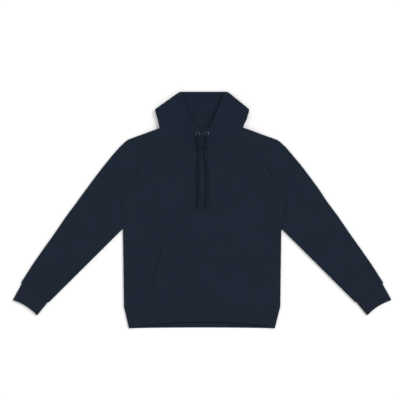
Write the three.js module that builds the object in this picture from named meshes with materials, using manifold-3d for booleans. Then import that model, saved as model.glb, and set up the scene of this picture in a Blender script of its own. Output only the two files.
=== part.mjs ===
// A pullover hoodie laid flat on its back, front side up, in millimetres.
// X runs across the chest, Y from the hem to the hood and Z up from the surface it lies on.
// Each panel is a wall of cloth about a middle surface. Its two layers lie on each other and
// roll into each other at the outline, where the cloth turns round the edge.

import * as THREE from 'three';
import { mergeVertices } from 'three/addons/utils/BufferGeometryUtils.js';
import Module from 'manifold-3d';

const wasm = await Module();
wasm.setup();

// Walls and the air between the layers
const SEAM_GAP = 0.3;
const FLEECE = 2.2;
const RIB_WALL = 2.0;
const HOOD_CLOTH = 3.0;
const BODY_AIR = 3.4;
const HOOD_AIR = 2.0;

// Rib knit, with one rib for each pitch
const RIB_PITCH = 4.2;
const RIB_RISE = 0.8;

// Body
const HEM_SEAM = -331;
const HEM_HALF = 265.5;
const UNDERARM = { x: 269, y: -63.4 };
const SHOULDER_TIP = { x: 240, y: 243.6 };
const NECK_CORNER = { x: 142.3, y: 278.6 };
const FRONT_NECK_LOW = 214;
const FRONT_NECK_BEND = 1.5;

// Waistband
const BAND_SEAM_HALF = 264.9;
const BAND_HALF = 248.5;
const BAND_END = -401.4;
const BAND_FRONT_ARCH = 24.3;
const BAND_BACK_ARCH = 3.4;
const BAND_ARCH_BEND = 0.75;
const BAND_PLAIN_SPANS = 16;

// Crown of the hood, folded behind the neck: it lifts what lies over it
const CROWN_HEIGHT = 6.3;
const CROWN_CLEAR = 0.4;
const LIFT = CROWN_HEIGHT + CROWN_CLEAR;
const LIFT_HALF = 158;
const LIFT_START = 250;
const LIFT_FADE = 60;

// Hood opening: the left wing laps over the right one
const LAP_RISE = 3.4;
const LAP_LOW = 214;
const LAP_HIGH = 264;
const LAP_FULL = 34;
const LAP_FADE = 76;
const LAP_END = { x: -6, y: 215.5 };
const HOOD_TOP = 401.4;

// Trims
const CORD_RADIUS = 3.5;
// The tubular braid lies flat on the chest, and is round in its eyelet and at its tip
const CORD_WIDEN = 0.42;
const CORD_ROUND_ABOVE = 246;
const CORD_FLAT_BELOW = 222;
const CORD_TAPER = 12;
const CORD_SIDES = 8;
const CORD_STEPS = 36;
const TIP_RADIUS = 3.65;
const TIP_END = 6.6;
const TIP_SIDES = 12;
const TIP_BEVEL = 0.6;
const EYELET_SEGMENTS = 20;
const EYELET_HOLE = 5;
const EYELET_BARREL = 5.35;
const EYELET_CUT = 5.65;
const EYELET_RIM = 6.8;
const EYELET_WASHER = 6.6;
const EYELET_SHEET = 0.6;
const EYELET_CROWN = 1.1;
const EYELET_PLACE = { left: { x: -15.3, y: 257.2 }, right: { x: 15.6, y: 257.2 } };

// Armhole seam, from the underarm to the shoulder tip
const ARMHOLE = [
  { y: -63.4, x: 267.9 }, { y: -60.6, x: 268.8 }, { y: -45, x: 267.2 }, { y: -15, x: 261 },
  { y: 15, x: 251 }, { y: 45, x: 239.8 }, { y: 75, x: 230 }, { y: 100, x: 224 },
  { y: 125, x: 220.2 }, { y: 150, x: 219 }, { y: 172, x: 219.8 }, { y: 192, x: 223 },
  { y: 210, x: 227.5 }, { y: 227, x: 233.5 }, { y: 242.6, x: 239.5 },
];
// Heights of the rows of points on the armhole between its rolled ends, and below the underarm
const FRONT_ARMHOLE_ROWS = [-45, -15, 15, 45, 75, 100, 125, 150, 172, 192, 210, 227];
const BACK_ARMHOLE_ROWS = [-30, 35, 87, 130, 160, 183, 205, 227];
const FRONT_SIDE_ROWS = [-270, -210, -155, -108, -78];
const BACK_SIDE_ROWS = [-240, -150, -90];

// Columns of points from the centre to the rolled edge, as they lie at the top edge
const FRONT_COLUMNS = [0, 30, 60, 90, 120, 139.6, 141.9, 158, 174, 190, 206, 222];
const BACK_COLUMNS = [0, 30, 60, 100, 139.6, 141.9, 162, 184, 210];

// Back neckline, from the centre out
const BACK_NECK = [
  { x: 0, y: 315.5 }, { x: 30, y: 315.2 }, { x: 55, y: 311 }, { x: 100, y: 294.5 },
  { x: 141.9, y: 277.6 },
];

// Sleeve's upper edge, from the shoulder tip to the cuff
const SLEEVE_EDGE = [
  { x: 240, y: 243.6 }, { x: 262, y: 231 }, { x: 282, y: 212.3 }, { x: 309, y: 181.7 },
  { x: 334.6, y: 151.1 }, { x: 366, y: 110.3 }, { x: 396, y: 69.5 }, { x: 424.3, y: 28.7 },
  { x: 462.2, y: -22.3 }, { x: 504, y: -83.5 }, { x: 540.5, y: -134.5 }, { x: 576, y: -185.5 },
  { x: 602, y: -226.3 }, { x: 615.6, y: -247.7 },
];
const SLEEVE_HEAD = { x: 269.3, y: -64.1 };
const SLEEVE_FOOT = { x: 520.7, y: -314 };
const SLEEVE_ROWS = 17;
// The sleeve's head stands off the armhole a little more at the underarm, where both walls roll
const HEAD_GAP = 0.35;
const HEAD_GAP_UNDERARM = 2.4;
const HEAD_GAP_REACH = 3;
// Power by which the armhole's curve fades along the sleeve
const HEAD_CURVE_FADE = 4;

// Cuff: its outline at the seam and at the end, upper and lower edge
const CUFF_SEAM = { upper: { x: 612.5, y: -250.2 }, lower: { x: 523.3, y: -312.5 } };
const CUFF_END = { upper: { x: 643.1, y: -305.5 }, lower: { x: 560.2, y: -357.9 } };
const CUFF_BOW = 6.2;
const CUFF_PLAIN_SPANS = 5;

// Hood's outline from the neck corner up, by its share of the way
const HOOD_SIDE = [
  { share: 0, x: 142.8, y: 280.3 }, { share: 0.36, x: 158.4, y: 333 },
  { share: 0.42, x: 157.6, y: 343.5 }, { share: 0.9, x: 94, y: 394.5 },
];
const HOOD_CORNER = { left: { x: 73.6, y: 401.4 }, right: { x: 84.8, y: 401.4 } };
const HOOD_ROWS = [0, 0.07, 0.13, 0.2, 0.275, 0.35, 0.42, 0.5, 0.62, 0.76, 0.9, 1];

// Opening edge of each wing, from the neck seam up, on the wing's own side
const OPENING = {
  left: [
    { share: 0, ...LAP_END }, { share: 0.2, x: -0.5, y: 263.3 }, { share: 0.35, x: 19.2, y: 287.1 },
    { share: 0.5, x: 38.6, y: 314.3 }, { share: 0.76, x: 53.2, y: 356.8 }, { share: 1, x: 67.5, y: 401 },
  ],
  right: [
    { share: 0, ...LAP_END }, { share: 0.2, x: 0.5, y: 263.3 }, { share: 0.35, x: 18.2, y: 287 },
    { share: 0.5, x: 37.6, y: 315 }, { share: 0.76, x: 59, y: 358.5 }, { share: 1, x: 81, y: 401 },
  ],
};

// Points of the hood's neck edge that face those of the back and of the front
const NECK_SEAM_RISE = 0.42;
const BACK_LAYER_POINTS = [SEAM_GAP / 2, 30, 60, 100];
const WING_POINTS = [139.4, 120, 90, 60, 30];

// Middle of the hood's wall where its neck edge turns at the neck corner
const NECK_TURN = {
  edge: { x: 141.3, y: 280.7 },
  wing: [{ x: 141.2, y: 279.97 }, { x: 140.4, y: 278.35 }],
  back: [{ x: 140.9, y: 280.1 }, { x: 139.5, y: 279 }],
};

// Folded crown: outline of its right half, and its edge as two layers
const CROWN_OUTLINE = [
  { x: 0, y: 400.5 }, { x: 70, y: 400 }, { x: 154, y: 338 }, { x: 149, y: 318 },
  { x: 132, y: 290 }, { x: 110, y: 271 }, { x: 60, y: 260 }, { x: 0, y: 257 },
];
const CROWN_EDGE = [
  { z: 0, inset: 1.2 }, { z: 0.9, inset: 0.3 }, { z: 2, inset: 0 }, { z: 2.9, inset: 0.6 },
  { z: 3.2, inset: 1.2 }, { z: 3.5, inset: 0.6 }, { z: 4.4, inset: 0 }, { z: 5.5, inset: 0.3 },
  { z: CROWN_HEIGHT, inset: 1.2 },
];

// Pouch pocket: half-width at each height
const POCKET = [
  { y: -115.8, half: 133 }, { y: -150, half: 142.1 }, { y: -190, half: 152.8 },
  { y: -230, half: 163.5 }, { y: -265.4, half: 173 }, { y: -298, half: 173 },
  { y: -330.4, half: 173 },
];
const POCKET_COLUMNS = 10;

// Largest folds of the upper layer, on the right half and mirrored
const FOLDS = [
  { x0: 197.7, y0: 169.8, x1: 247, y1: 88, width: 17, rise: -2.3 },
  { x0: 182, y0: 150, x1: 214, y1: 78, width: 20, rise: 1.4 },
  { x0: 289.5, y0: 54, x1: 274.5, y1: -40, width: 17, rise: -2.4 },
  { x0: 312, y0: 48, x1: 300, y1: -52, width: 20, rise: 1.6 },
  { x0: 352, y0: 66, x1: 318, y1: -30, width: 22, rise: -1.6 },
  { x0: 430, y0: -20, x1: 378, y1: -74, width: 22, rise: 1.5 },
  { x0: 470, y0: -78, x1: 414, y1: -128, width: 22, rise: -1.5 },
  { x0: 520, y0: -150, x1: 466, y1: -192, width: 20, rise: 1.4 },
  { x0: 556, y0: -196, x1: 508, y1: -238, width: 18, rise: -1.5 },
];
const FOLD_EDGE_FADE = 22;

// Drawcord routes, from inside the eyelet to the tip
const CORD_ROUTE = {
  left: [
    [-15.3, 258.3, 17.5], [-15.2, 255.8, 20.9], [-15, 251.9, 23.8], [-14.6, 246.7, 24.9],
    [-13.8, 241, 24.3], [-12.5, 232, 21.9], [-11, 222, 19.3], [-10, 214, 17.9],
    [-9.7, 205, 15.4], [-9.9, 195, 12.9], [-10.7, 183.4, 11.8], [-12.6, 168, 11.7],
    [-13.8, 152.8, 11.7], [-14.6, 128, 11.7], [-14.5, 101.8, 11.7], [-14, 68, 11.7],
    [-13.1, 33.8, 11.7],
  ],
  right: [
    [15.6, 258.3, 14.1], [15.5, 255.8, 17.5], [15.4, 251.9, 20.4], [15, 246.7, 21.5],
    [14.2, 241, 20.6], [13, 232, 18.2], [11.8, 222, 15.9], [10.8, 214, 14.5],
    [10.5, 205, 13], [10.5, 195, 11.9], [10.7, 183.4, 11.8], [12.9, 168, 11.7],
    [15.1, 152.8, 11.7], [16.8, 128, 11.7], [17.5, 101.8, 11.7], [16.9, 68, 11.7],
    [14.5, 33.8, 11.7],
  ],
};

const clamp = (value) => Math.min(Math.max(value, 0), 1);
const smooth = (value) => clamp(value) ** 2 * (3 - 2 * clamp(value));
const mix = (a, b, share) => a + (b - a) * share;
const mixPoints = (a, b, share) => ({ x: mix(a.x, b.x, share), y: mix(a.y, b.y, share) });

// Value of one column of a table where another column, which rises, has a given value
function lookUp(table, key, name, value) {
  let k = 1;
  while (k < table.length - 1 && table[k][key] < value) k++;
  const [a, b] = [table[k - 1], table[k]];
  return mix(a[name], b[name], (value - a[key]) / (b[key] - a[key]));
}

// Point on a table of places, by the share column
function placeAt(table, share) {
  return { x: lookUp(table, 'share', 'x', share), y: lookUp(table, 'share', 'y', share) };
}

// Outward normal of an outline walked with the cloth on its left
function outward(a, b) {
  const length = Math.hypot(b.x - a.x, b.y - a.y);
  return { x: (b.y - a.y) / length, y: (a.x - b.x) / length };
}

// Outline moved in by half a wall, which gives the middle surface's edge
function insetLine(points, distance) {
  return points.map((point, k) => {
    const before = outward(points[Math.max(k - 1, 0)], points[Math.max(k, 1)]);
    const after = outward(points[Math.min(k, points.length - 2)], points[Math.min(k + 1, points.length - 1)]);
    const out = { x: before.x + after.x, y: before.y + after.y };
    const scale = distance * 2 / (out.x ** 2 + out.y ** 2);
    return { x: point.x - out.x * scale, y: point.y - out.y * scale };
  });
}

// Place and outward normal at a share of an edge line's length
function walk(line, share) {
  const lengths = line.slice(1).map((point, k) => Math.hypot(point.x - line[k].x, point.y - line[k].y));
  let rest = share * lengths.reduce((sum, length) => sum + length, 0);
  let k = 0;
  while (k < lengths.length - 1 && rest > lengths[k]) rest -= lengths[k++];
  return { ...mixPoints(line[k], line[k + 1], rest / lengths[k]), out: outward(line[k], line[k + 1]) };
}

// Nearest place on the edge lines, as a distance and an outward direction
function nearest(lines, x, y) {
  let best = { distance: Infinity };
  for (const line of lines) {
    for (let k = 1; k < line.length; k++) {
      const [a, b] = [line[k - 1], line[k]];
      const [dx, dy] = [b.x - a.x, b.y - a.y];
      const share = clamp(((x - a.x) * dx + (y - a.y) * dy) / (dx * dx + dy * dy));
      const [gx, gy] = [a.x + share * dx - x, a.y + share * dy - y];
      const distance = Math.hypot(gx, gy);
      if (distance < best.distance) {
        const out = distance > 0.01 ? { x: gx / distance, y: gy / distance } : outward(a, b);
        best = { distance, out };
      }
    }
  }
  return best;
}

// Height that the folded crown gives to all that lies over it
function lift(x, y) {
  const away = Math.hypot(Math.max(Math.abs(x) - LIFT_HALF, 0), Math.max(LIFT_START - y, 0));
  return LIFT * (1 - smooth(away / LIFT_FADE));
}

// Height of the largest folds
function folds(x, y) {
  let height = 0;
  for (const { x0, y0, x1, y1, width, rise } of FOLDS) {
    const { distance } = nearest([[{ x: x0, y: y0 }, { x: x1, y: y1 }]], Math.abs(x), y);
    height += rise * (1 - smooth(distance / width));
  }
  return height;
}

// Rise of the lapping wing over the other one
function lapRise(x, y) {
  const away = Math.hypot(x, Math.max(LAP_LOW - y, y - LAP_HIGH, 0));
  return LAP_RISE * (1 - smooth((away - LAP_FULL) / (LAP_FADE - LAP_FULL)));
}

// A form is two layers that roll into each other at its edge lines
const rollForm = (wallSize, air, lines, seam = 0) => ({
  radius: (wallSize + air) / 2, middle: wallSize + air / 2, lines, seam,
});
const rollInsets = ({ radius }) => [0, radius * (1 - Math.SQRT1_2), radius];

// Point of the middle surface and its normal: side is 1 on the upper layer and -1 on the lower
function clothPoint(form, { x, y }, side, rise = 0) {
  const { distance, out } = nearest(form.lines, Math.abs(x), y);
  const cosine = Math.max(0, 1 - distance / form.radius);
  const sine = Math.sqrt(1 - cosine * cosine);
  const fold = side > 0 ? folds(x, y) * smooth(distance / FOLD_EDGE_FADE) : 0;
  const height = form.middle + side * (form.radius * sine + form.seam * cosine);
  return {
    at: new THREE.Vector3(x, y, height + fold + rise + lift(x, y)),
    normal: new THREE.Vector3(out.x * cosine * (x < 0 ? -1 : 1), out.y * cosine, side * sine),
  };
}

// Closed geometry with its faces pointing out
function closedGeometry(positions, index) {
  let volume = 0;
  const corner = (k) => new THREE.Vector3().fromArray(positions, index[k] * 3);
  for (let k = 0; k < index.length; k += 3) {
    volume += corner(k).dot(corner(k + 1).cross(corner(k + 2)));
  }
  const geometry = new THREE.BufferGeometry();
  geometry.setAttribute('position', new THREE.Float32BufferAttribute(positions, 3));
  geometry.setIndex(volume > 0 ? index : [...index].reverse());
  return geometry;
}

// Wall about a grid of middle points, open at its edges and closed there by rims. A ring closes
// on itself along its rows. What is raised moves only the outer face.
function wall(grid, thickness, { ring = false, raise = () => 0 } = {}) {
  const rows = grid.length;
  const columns = grid[0].length;
  const positions = [];
  for (const face of [1, -1]) {
    for (const line of grid) {
      line.forEach(({ at, normal }, i) => {
        const reach = face * thickness / 2 + (face > 0 ? raise(i) : 0);
        positions.push(...at.clone().addScaledVector(normal, reach).toArray());
      });
    }
  }
  const index = [];
  const quad = (a, b, c, d) => index.push(a, b, c, a, c, d);
  const outer = (j, i) => j * columns + i % columns;
  const inner = (j, i) => rows * columns + outer(j, i);
  const spans = ring ? columns : columns - 1;
  for (let i = 0; i < spans; i++) {
    for (let j = 0; j < rows - 1; j++) {
      quad(outer(j, i), outer(j, i + 1), outer(j + 1, i + 1), outer(j + 1, i));
      quad(inner(j, i), inner(j + 1, i), inner(j + 1, i + 1), inner(j, i + 1));
    }
    quad(outer(0, i), inner(0, i), inner(0, i + 1), outer(0, i + 1));
    quad(outer(rows - 1, i), outer(rows - 1, i + 1), inner(rows - 1, i + 1), inner(rows - 1, i));
  }
  if (!ring) {
    const last = columns - 1;
    for (let j = 0; j < rows - 1; j++) {
      quad(outer(j, 0), outer(j + 1, 0), inner(j + 1, 0), inner(j, 0));
      quad(outer(j, last), inner(j, last), inner(j + 1, last), outer(j + 1, last));
    }
  }
  return closedGeometry(positions, index);
}

// The same geometry on the other side of the centre line
function mirrored(geometry) {
  const copy = geometry.clone().scale(-1, 1, 1);
  const index = Array.from(copy.index.array);
  copy.setIndex(index.reverse());
  return copy;
}

// Edge lines of the middle surface, walked with the cloth on the left
const sideLine = insetLine([{ x: HEM_HALF, y: HEM_SEAM }, UNDERARM], FLEECE / 2);
const shoulderLine = insetLine([SHOULDER_TIP, NECK_CORNER], FLEECE / 2);
const [TIP_MIDDLE, CORNER_MIDDLE] = shoulderLine;
const SHOULDER_STRETCH = 1 / outward(TIP_MIDDLE, CORNER_MIDDLE).y;
const bodyForm = rollForm(FLEECE, BODY_AIR, [sideLine, shoulderLine], SEAM_GAP / 2);

// Seam edge at the top of a body panel: its neckline, then the shoulder
function panelTop(side, x) {
  if (x > CORNER_MIDDLE.x) {
    const share = (x - CORNER_MIDDLE.x) / (TIP_MIDDLE.x - CORNER_MIDDLE.x);
    return mix(CORNER_MIDDLE.y, TIP_MIDDLE.y, share);
  }
  if (side < 0) return lookUp(BACK_NECK, 'x', 'y', x);
  return mix(FRONT_NECK_LOW, CORNER_MIDDLE.y, (x / CORNER_MIDDLE.x) ** FRONT_NECK_BEND);
}

// Heights on the armhole where a body panel and the sleeve share their points
function armholeRows(side) {
  const insets = rollInsets(bodyForm);
  const inner = side > 0 ? FRONT_ARMHOLE_ROWS : BACK_ARMHOLE_ROWS;
  return [
    ...insets.map((inset) => UNDERARM.y + inset), ...inner,
    ...insets.reverse().map((inset) => TIP_MIDDLE.y - inset * SHOULDER_STRETCH),
  ];
}

// Front or back panel: rows below the underarm are level, and those above lead to the top edge
function bodyPanel(side, halfColumns, sideRows) {
  const insets = rollInsets(bodyForm).reverse();
  const flatHalf = TIP_MIDDLE.x - bodyForm.radius;
  const spread = (half) => [
    ...halfColumns.map((x) => x * (half - bodyForm.radius) / flatHalf),
    ...insets.map((inset) => half - inset),
  ];
  const tops = spread(TIP_MIDDLE.x).map((x) => panelTop(side, x));
  const rowPoints = (half, rise) => {
    const right = spread(half).map((x, k) => ({ x, y: rise(k) }));
    const left = right.slice(1).reverse().map(({ x, y }) => ({ x: -x, y }));
    return [...left, ...right].map((place) => clothPoint(bodyForm, place, side));
  };
  const rows = [HEM_SEAM + SEAM_GAP / 2, ...sideRows].map((y) => {
    const share = (y - HEM_SEAM) / (UNDERARM.y - HEM_SEAM);
    return rowPoints(mix(sideLine[0].x, sideLine[1].x, share), () => y);
  });
  for (const y of armholeRows(side)) {
    const share = (y - UNDERARM.y) / (TIP_MIDDLE.y - UNDERARM.y);
    rows.push(rowPoints(lookUp(ARMHOLE, 'y', 'x', y), (k) => mix(UNDERARM.y, tops[k], share)));
  }
  return wall(rows, FLEECE);
}

// Sleeve: one closed ring whose first row follows both armholes
function sleeve() {
  const upper = insetLine([...SLEEVE_EDGE].reverse(), FLEECE / 2).reverse();
  const lower = insetLine([SLEEVE_HEAD, SLEEVE_FOOT], FLEECE / 2);
  const form = rollForm(FLEECE, BODY_AIR, [[...upper].reverse(), lower]);
  const insets = rollInsets(form);
  const halfRow = (side, share) => {
    const heights = armholeRows(side).reverse();
    const first = heights.map((y) => {
      const away = clamp((y - UNDERARM.y) / HEAD_GAP_REACH);
      return { x: lookUp(ARMHOLE, 'y', 'x', y) + mix(HEAD_GAP_UNDERARM, HEAD_GAP, away), y };
    });
    if (share === 0) return first;
    const top = walk([...upper].reverse(), 1 - share);
    const foot = walk(lower, share);
    const stepIn = (edge, inset) => ({ x: edge.x - edge.out.x * inset, y: edge.y - edge.out.y * inset });
    const [from, to] = [stepIn(top, insets[2]), stepIn(foot, insets[2])];
    const [firstFrom, firstTo] = [first[2], first[first.length - 3]];
    const inner = first.slice(3, -3).map((place) => {
      const across = (firstFrom.y - place.y) / (firstFrom.y - firstTo.y);
      const straight = mixPoints(from, to, across);
      const bend = place.x - mix(firstFrom.x, firstTo.x, across);
      return { x: straight.x + bend * (1 - share) ** HEAD_CURVE_FADE, y: straight.y };
    });
    return [
      ...insets.map((inset) => stepIn(top, inset)), ...inner,
      ...[...insets].reverse().map((inset) => stepIn(foot, inset)),
    ];
  };
  const rows = [];
  for (let k = 0; k <= SLEEVE_ROWS; k++) {
    const share = k / SLEEVE_ROWS;
    const over = halfRow(1, share).map((place) => clothPoint(form, place, 1));
    const under = halfRow(-1, share).slice(1, -1).reverse().map((place) => clothPoint(form, place, -1));
    rows.push([...over, ...under]);
  }
  return wall(rows, FLEECE, { ring: true });
}

// Ribbed ring between two lines across a tube, ribs on its upper side and a plain underside
function ribbedRing(form, rowsAcross, ribs, plainSpans) {
  const insets = rollInsets(form);
  const turn = insets.length - 1;
  const rows = rowsAcross.map((rowAcross) => {
    const half = (side, spans) => {
      const places = [];
      for (let k = 0; k <= spans; k++) places.push(rowAcross(k / spans, insets[turn], side));
      const start = insets.slice(0, turn).map((inset) => rowAcross(0, inset, side));
      const end = insets.slice(0, turn).reverse().map((inset) => rowAcross(1, inset, side));
      return [...start, ...places, ...end].map((place) => clothPoint(form, place, side));
    };
    return [...half(1, ribs * 2), ...half(-1, plainSpans).slice(1, -1).reverse()];
  });
  const lastRib = turn + ribs * 2;
  const raise = (i) => (i > turn && i < lastRib && (i - turn) % 2 === 1 ? RIB_RISE : 0);
  return wall(rows, RIB_WALL, { ring: true, raise });
}

// Waistband: its front edge arches up over the back one
function waistband() {
  const outline = [{ x: BAND_HALF, y: BAND_END }, { x: BAND_SEAM_HALF, y: HEM_SEAM - SEAM_GAP }];
  const form = rollForm(RIB_WALL, BODY_AIR, [insetLine(outline, RIB_WALL / 2)]);
  const [endMiddle, seamMiddle] = form.lines[0];
  const rowAt = (middle, arch) => (share, inset, side) => {
    const half = middle.x - inset;
    const place = mix(-half, half, share);
    const hump = Math.max(0, 1 - (place / middle.x) ** 2) ** BAND_ARCH_BEND;
    return { x: place, y: middle.y + arch(side) * hump };
  };
  const rows = [
    rowAt(seamMiddle, () => 0),
    rowAt(endMiddle, (side) => (side > 0 ? BAND_FRONT_ARCH : BAND_BACK_ARCH)),
  ];
  return ribbedRing(form, rows, Math.round(2 * BAND_SEAM_HALF / RIB_PITCH), BAND_PLAIN_SPANS);
}

// Cuff: a short ribbed tube, a little narrower than the sleeve's end
function cuff() {
  const upper = insetLine([CUFF_END.upper, CUFF_SEAM.upper], RIB_WALL / 2);
  const lower = insetLine([CUFF_SEAM.lower, CUFF_END.lower], RIB_WALL / 2);
  const form = rollForm(RIB_WALL, BODY_AIR, [upper, lower]);
  const width = Math.hypot(CUFF_SEAM.upper.x - CUFF_SEAM.lower.x, CUFF_SEAM.upper.y - CUFF_SEAM.lower.y);
  const rowAt = (top, foot, bow) => (share, inset) => {
    const span = Math.hypot(foot.x - top.x, foot.y - top.y);
    const along = mix(inset / span, 1 - inset / span, share);
    const place = mixPoints(top, foot, along);
    const back = outward(top, foot);
    const hump = bow * (1 - (2 * along - 1) ** 2);
    return { x: place.x + back.x * hump, y: place.y + back.y * hump };
  };
  const rows = [rowAt(upper[1], lower[0], 0), rowAt(upper[0], lower[1], CUFF_BOW)];
  return ribbedRing(form, rows, Math.round(width / RIB_PITCH), CUFF_PLAIN_SPANS);
}

// Hood half on its own side of the centre: back layer, turn at the outline, then the wing
function hoodHalf(hand, rise) {
  const outline = [...HOOD_SIDE, { share: 1, ...HOOD_CORNER[hand] }];
  const middle = insetLine(outline, HOOD_CLOTH / 2);
  middle[0] = NECK_TURN.edge;
  const edge = outline.map(({ share }, k) => ({ share, ...middle[k] }));
  const form = rollForm(HOOD_CLOTH, HOOD_AIR, [middle]);
  const insets = rollInsets(form);
  const neckPoint = (side) => (x) => ({ x, y: panelTop(side, x) + NECK_SEAM_RISE });
  const backFirst = BACK_LAYER_POINTS.map(neckPoint(-1));
  const wingFirst = [...WING_POINTS.map(neckPoint(1)), LAP_END];
  const [backTurn, wingTurn] = [NECK_TURN.back[1], NECK_TURN.wing[1]];
  // Each inner point keeps its share of the row, and the neck edge's bend fades up the hood
  const inner = (first, from, to, firstFrom, firstTo, share) => first.map((place) => {
    const across = (place.x - firstFrom.x) / (firstTo.x - firstFrom.x);
    const bend = place.y - mix(firstFrom.y, firstTo.y, across);
    const straight = mixPoints(from, to, across);
    return { x: straight.x, y: straight.y + bend * (1 - share) ** 2 };
  });
  const rows = HOOD_ROWS.map((share) => {
    let [back, turn, wing] = [backFirst, null, wingFirst];
    if (share === 0) {
      turn = [...[...NECK_TURN.back].reverse(), NECK_TURN.edge, ...NECK_TURN.wing];
    } else {
      const at = placeAt(edge, share);
      const ahead = placeAt(edge, Math.min(share + 0.01, 1));
      const behind = placeAt(edge, Math.max(share - 0.01, 0));
      const out = outward(behind, ahead);
      const stepIn = (inset) => ({ x: at.x - out.x * inset, y: at.y - out.y * inset });
      const centre = { x: SEAM_GAP / 2, y: mix(backFirst[0].y, HOOD_TOP, share) };
      const opening = placeAt(OPENING[hand], share);
      back = inner(backFirst, centre, stepIn(insets[2]), backFirst[0], backTurn, share);
      wing = inner(wingFirst, stepIn(insets[2]), opening, wingTurn, LAP_END, share);
      turn = [insets[2], insets[1], insets[0], insets[1], insets[2]].map(stepIn);
    }
    return [
      ...[...back, ...turn.slice(0, 2)].map((place) => clothPoint(form, place, -1)),
      ...[...turn.slice(2), ...wing].map((place) => clothPoint(form, place, 1, rise(place.x, place.y))),
    ];
  });
  return { geometry: wall(rows, HOOD_CLOTH), form };
}

// Solid for joining and cutting, and back
function solid(geometry) {
  const bare = geometry.clone();
  bare.deleteAttribute('normal');
  bare.deleteAttribute('uv');
  const merged = mergeVertices(bare, 1e-4);
  return new wasm.Manifold(new wasm.Mesh({
    numProp: 3,
    vertProperties: Float32Array.from(merged.attributes.position.array),
    triVerts: Uint32Array.from(merged.index.array),
  }));
}
function fromSolid(manifold) {
  const mesh = manifold.getMesh();
  const geometry = new THREE.BufferGeometry();
  geometry.setAttribute('position', new THREE.BufferAttribute(mesh.vertProperties, 3));
  geometry.setIndex(Array.from(mesh.triVerts));
  return geometry;
}

// Wing with the hole that its eyelet sits in
function pierced(geometry, { x, y }, height) {
  const cutter = new THREE.CylinderGeometry(EYELET_CUT, EYELET_CUT, HOOD_CLOTH * 2, EYELET_SEGMENTS);
  cutter.rotateX(Math.PI / 2).translate(x, y, height);
  return fromSolid(solid(geometry).subtract(solid(cutter)));
}

// Eyelet: a barrel through the wing with a rolled flange above and a flat one below
function eyelet({ x, y }, height) {
  const seat = HOOD_CLOTH / 2 + SEAM_GAP;
  const profile = [
    [EYELET_HOLE, -seat - EYELET_SHEET], [EYELET_WASHER, -seat - EYELET_SHEET],
    [EYELET_WASHER, -seat], [EYELET_BARREL, -seat], [EYELET_BARREL, seat], [EYELET_RIM, seat],
    [EYELET_RIM, seat + EYELET_SHEET], [EYELET_RIM - EYELET_SHEET, seat + EYELET_CROWN],
    [EYELET_HOLE + EYELET_SHEET, seat + EYELET_CROWN], [EYELET_HOLE, seat + EYELET_SHEET],
    [EYELET_HOLE, -seat - EYELET_SHEET],
  ].map(([radius, z]) => new THREE.Vector2(radius, z));
  return new THREE.LatheGeometry(profile, EYELET_SEGMENTS).rotateX(Math.PI / 2).translate(x, y, height);
}

// Folded crown: the outline's rings one over another, closed flat below and above
function crown() {
  const left = CROWN_OUTLINE.slice(1, -1).reverse().map(({ x, y }) => ({ x: -x, y }));
  const loop = [...CROWN_OUTLINE, ...left].reverse();
  const padded = [loop[loop.length - 1], ...loop, loop[0]];
  const ringAt = (inset) => insetLine(padded, inset).slice(1, -1);
  const positions = CROWN_EDGE.flatMap(({ z, inset }) => ringAt(inset).flatMap(({ x, y }) => [x, y, z]));
  const count = loop.length;
  const topStart = (CROWN_EDGE.length - 1) * count;
  const index = [];
  for (let j = 0; j < CROWN_EDGE.length - 1; j++) {
    for (let i = 0; i < count; i++) {
      const [a, b] = [j * count + i, j * count + (i + 1) % count];
      index.push(a, b, b + count, a, b + count, a + count);
    }
  }
  const flat = ringAt(0).map(({ x, y }) => new THREE.Vector2(x, y));
  for (const [a, b, c] of THREE.ShapeUtils.triangulateShape(flat, [])) {
    index.push(c, b, a, topStart + a, topStart + b, topStart + c);
  }
  return closedGeometry(positions, index);
}

// Pouch pocket, made from the front's points moved out
function pocket() {
  const out = FLEECE + SEAM_GAP;
  const rows = POCKET.map(({ y, half }) => {
    const line = [];
    for (let k = 0; k <= POCKET_COLUMNS; k++) {
      const x = mix(-half, half, k / POCKET_COLUMNS);
      const point = clothPoint(bodyForm, { x, y }, 1);
      point.at.addScaledVector(point.normal, out);
      line.push(point);
    }
    return line;
  });
  return wall(rows, FLEECE);
}

// Drawcord: a tube along its route, flattened where it lies on the chest
function drawcord(route) {
  const curve = new THREE.CatmullRomCurve3(route.map((point) => new THREE.Vector3(...point)));
  const section = new THREE.Shape();
  for (let k = 0; k < CORD_SIDES; k++) {
    const angle = (k + 0.5) * 2 * Math.PI / CORD_SIDES;
    const [x, y] = [CORD_RADIUS * Math.cos(angle), CORD_RADIUS * Math.sin(angle)];
    if (k === 0) section.moveTo(x, y);
    else section.lineTo(x, y);
  }
  section.closePath();
  const geometry = new THREE.ExtrudeGeometry(section, { steps: CORD_STEPS, extrudePath: curve });
  // Each point moves away from the middle line of its own height in plan
  const middles = curve.getPoints(CORD_STEPS * 4);
  const end = route[route.length - 1][1];
  const place = geometry.attributes.position;
  for (let i = 0; i < place.count; i++) {
    const y = place.getY(i);
    const k = Math.max(1, middles.findIndex((middle) => middle.y <= y));
    const [above, below] = [middles[k - 1], middles[k]];
    const middle = mix(above.x, below.x, Math.min(1, Math.max(0, (above.y - y) / (above.y - below.y))));
    const flat = smooth((CORD_ROUND_ABOVE - y) / (CORD_ROUND_ABOVE - CORD_FLAT_BELOW))
      * smooth((y - end) / CORD_TAPER);
    place.setX(i, middle + (place.getX(i) - middle) * (1 + CORD_WIDEN * flat));
  }
  return geometry;
}

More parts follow.
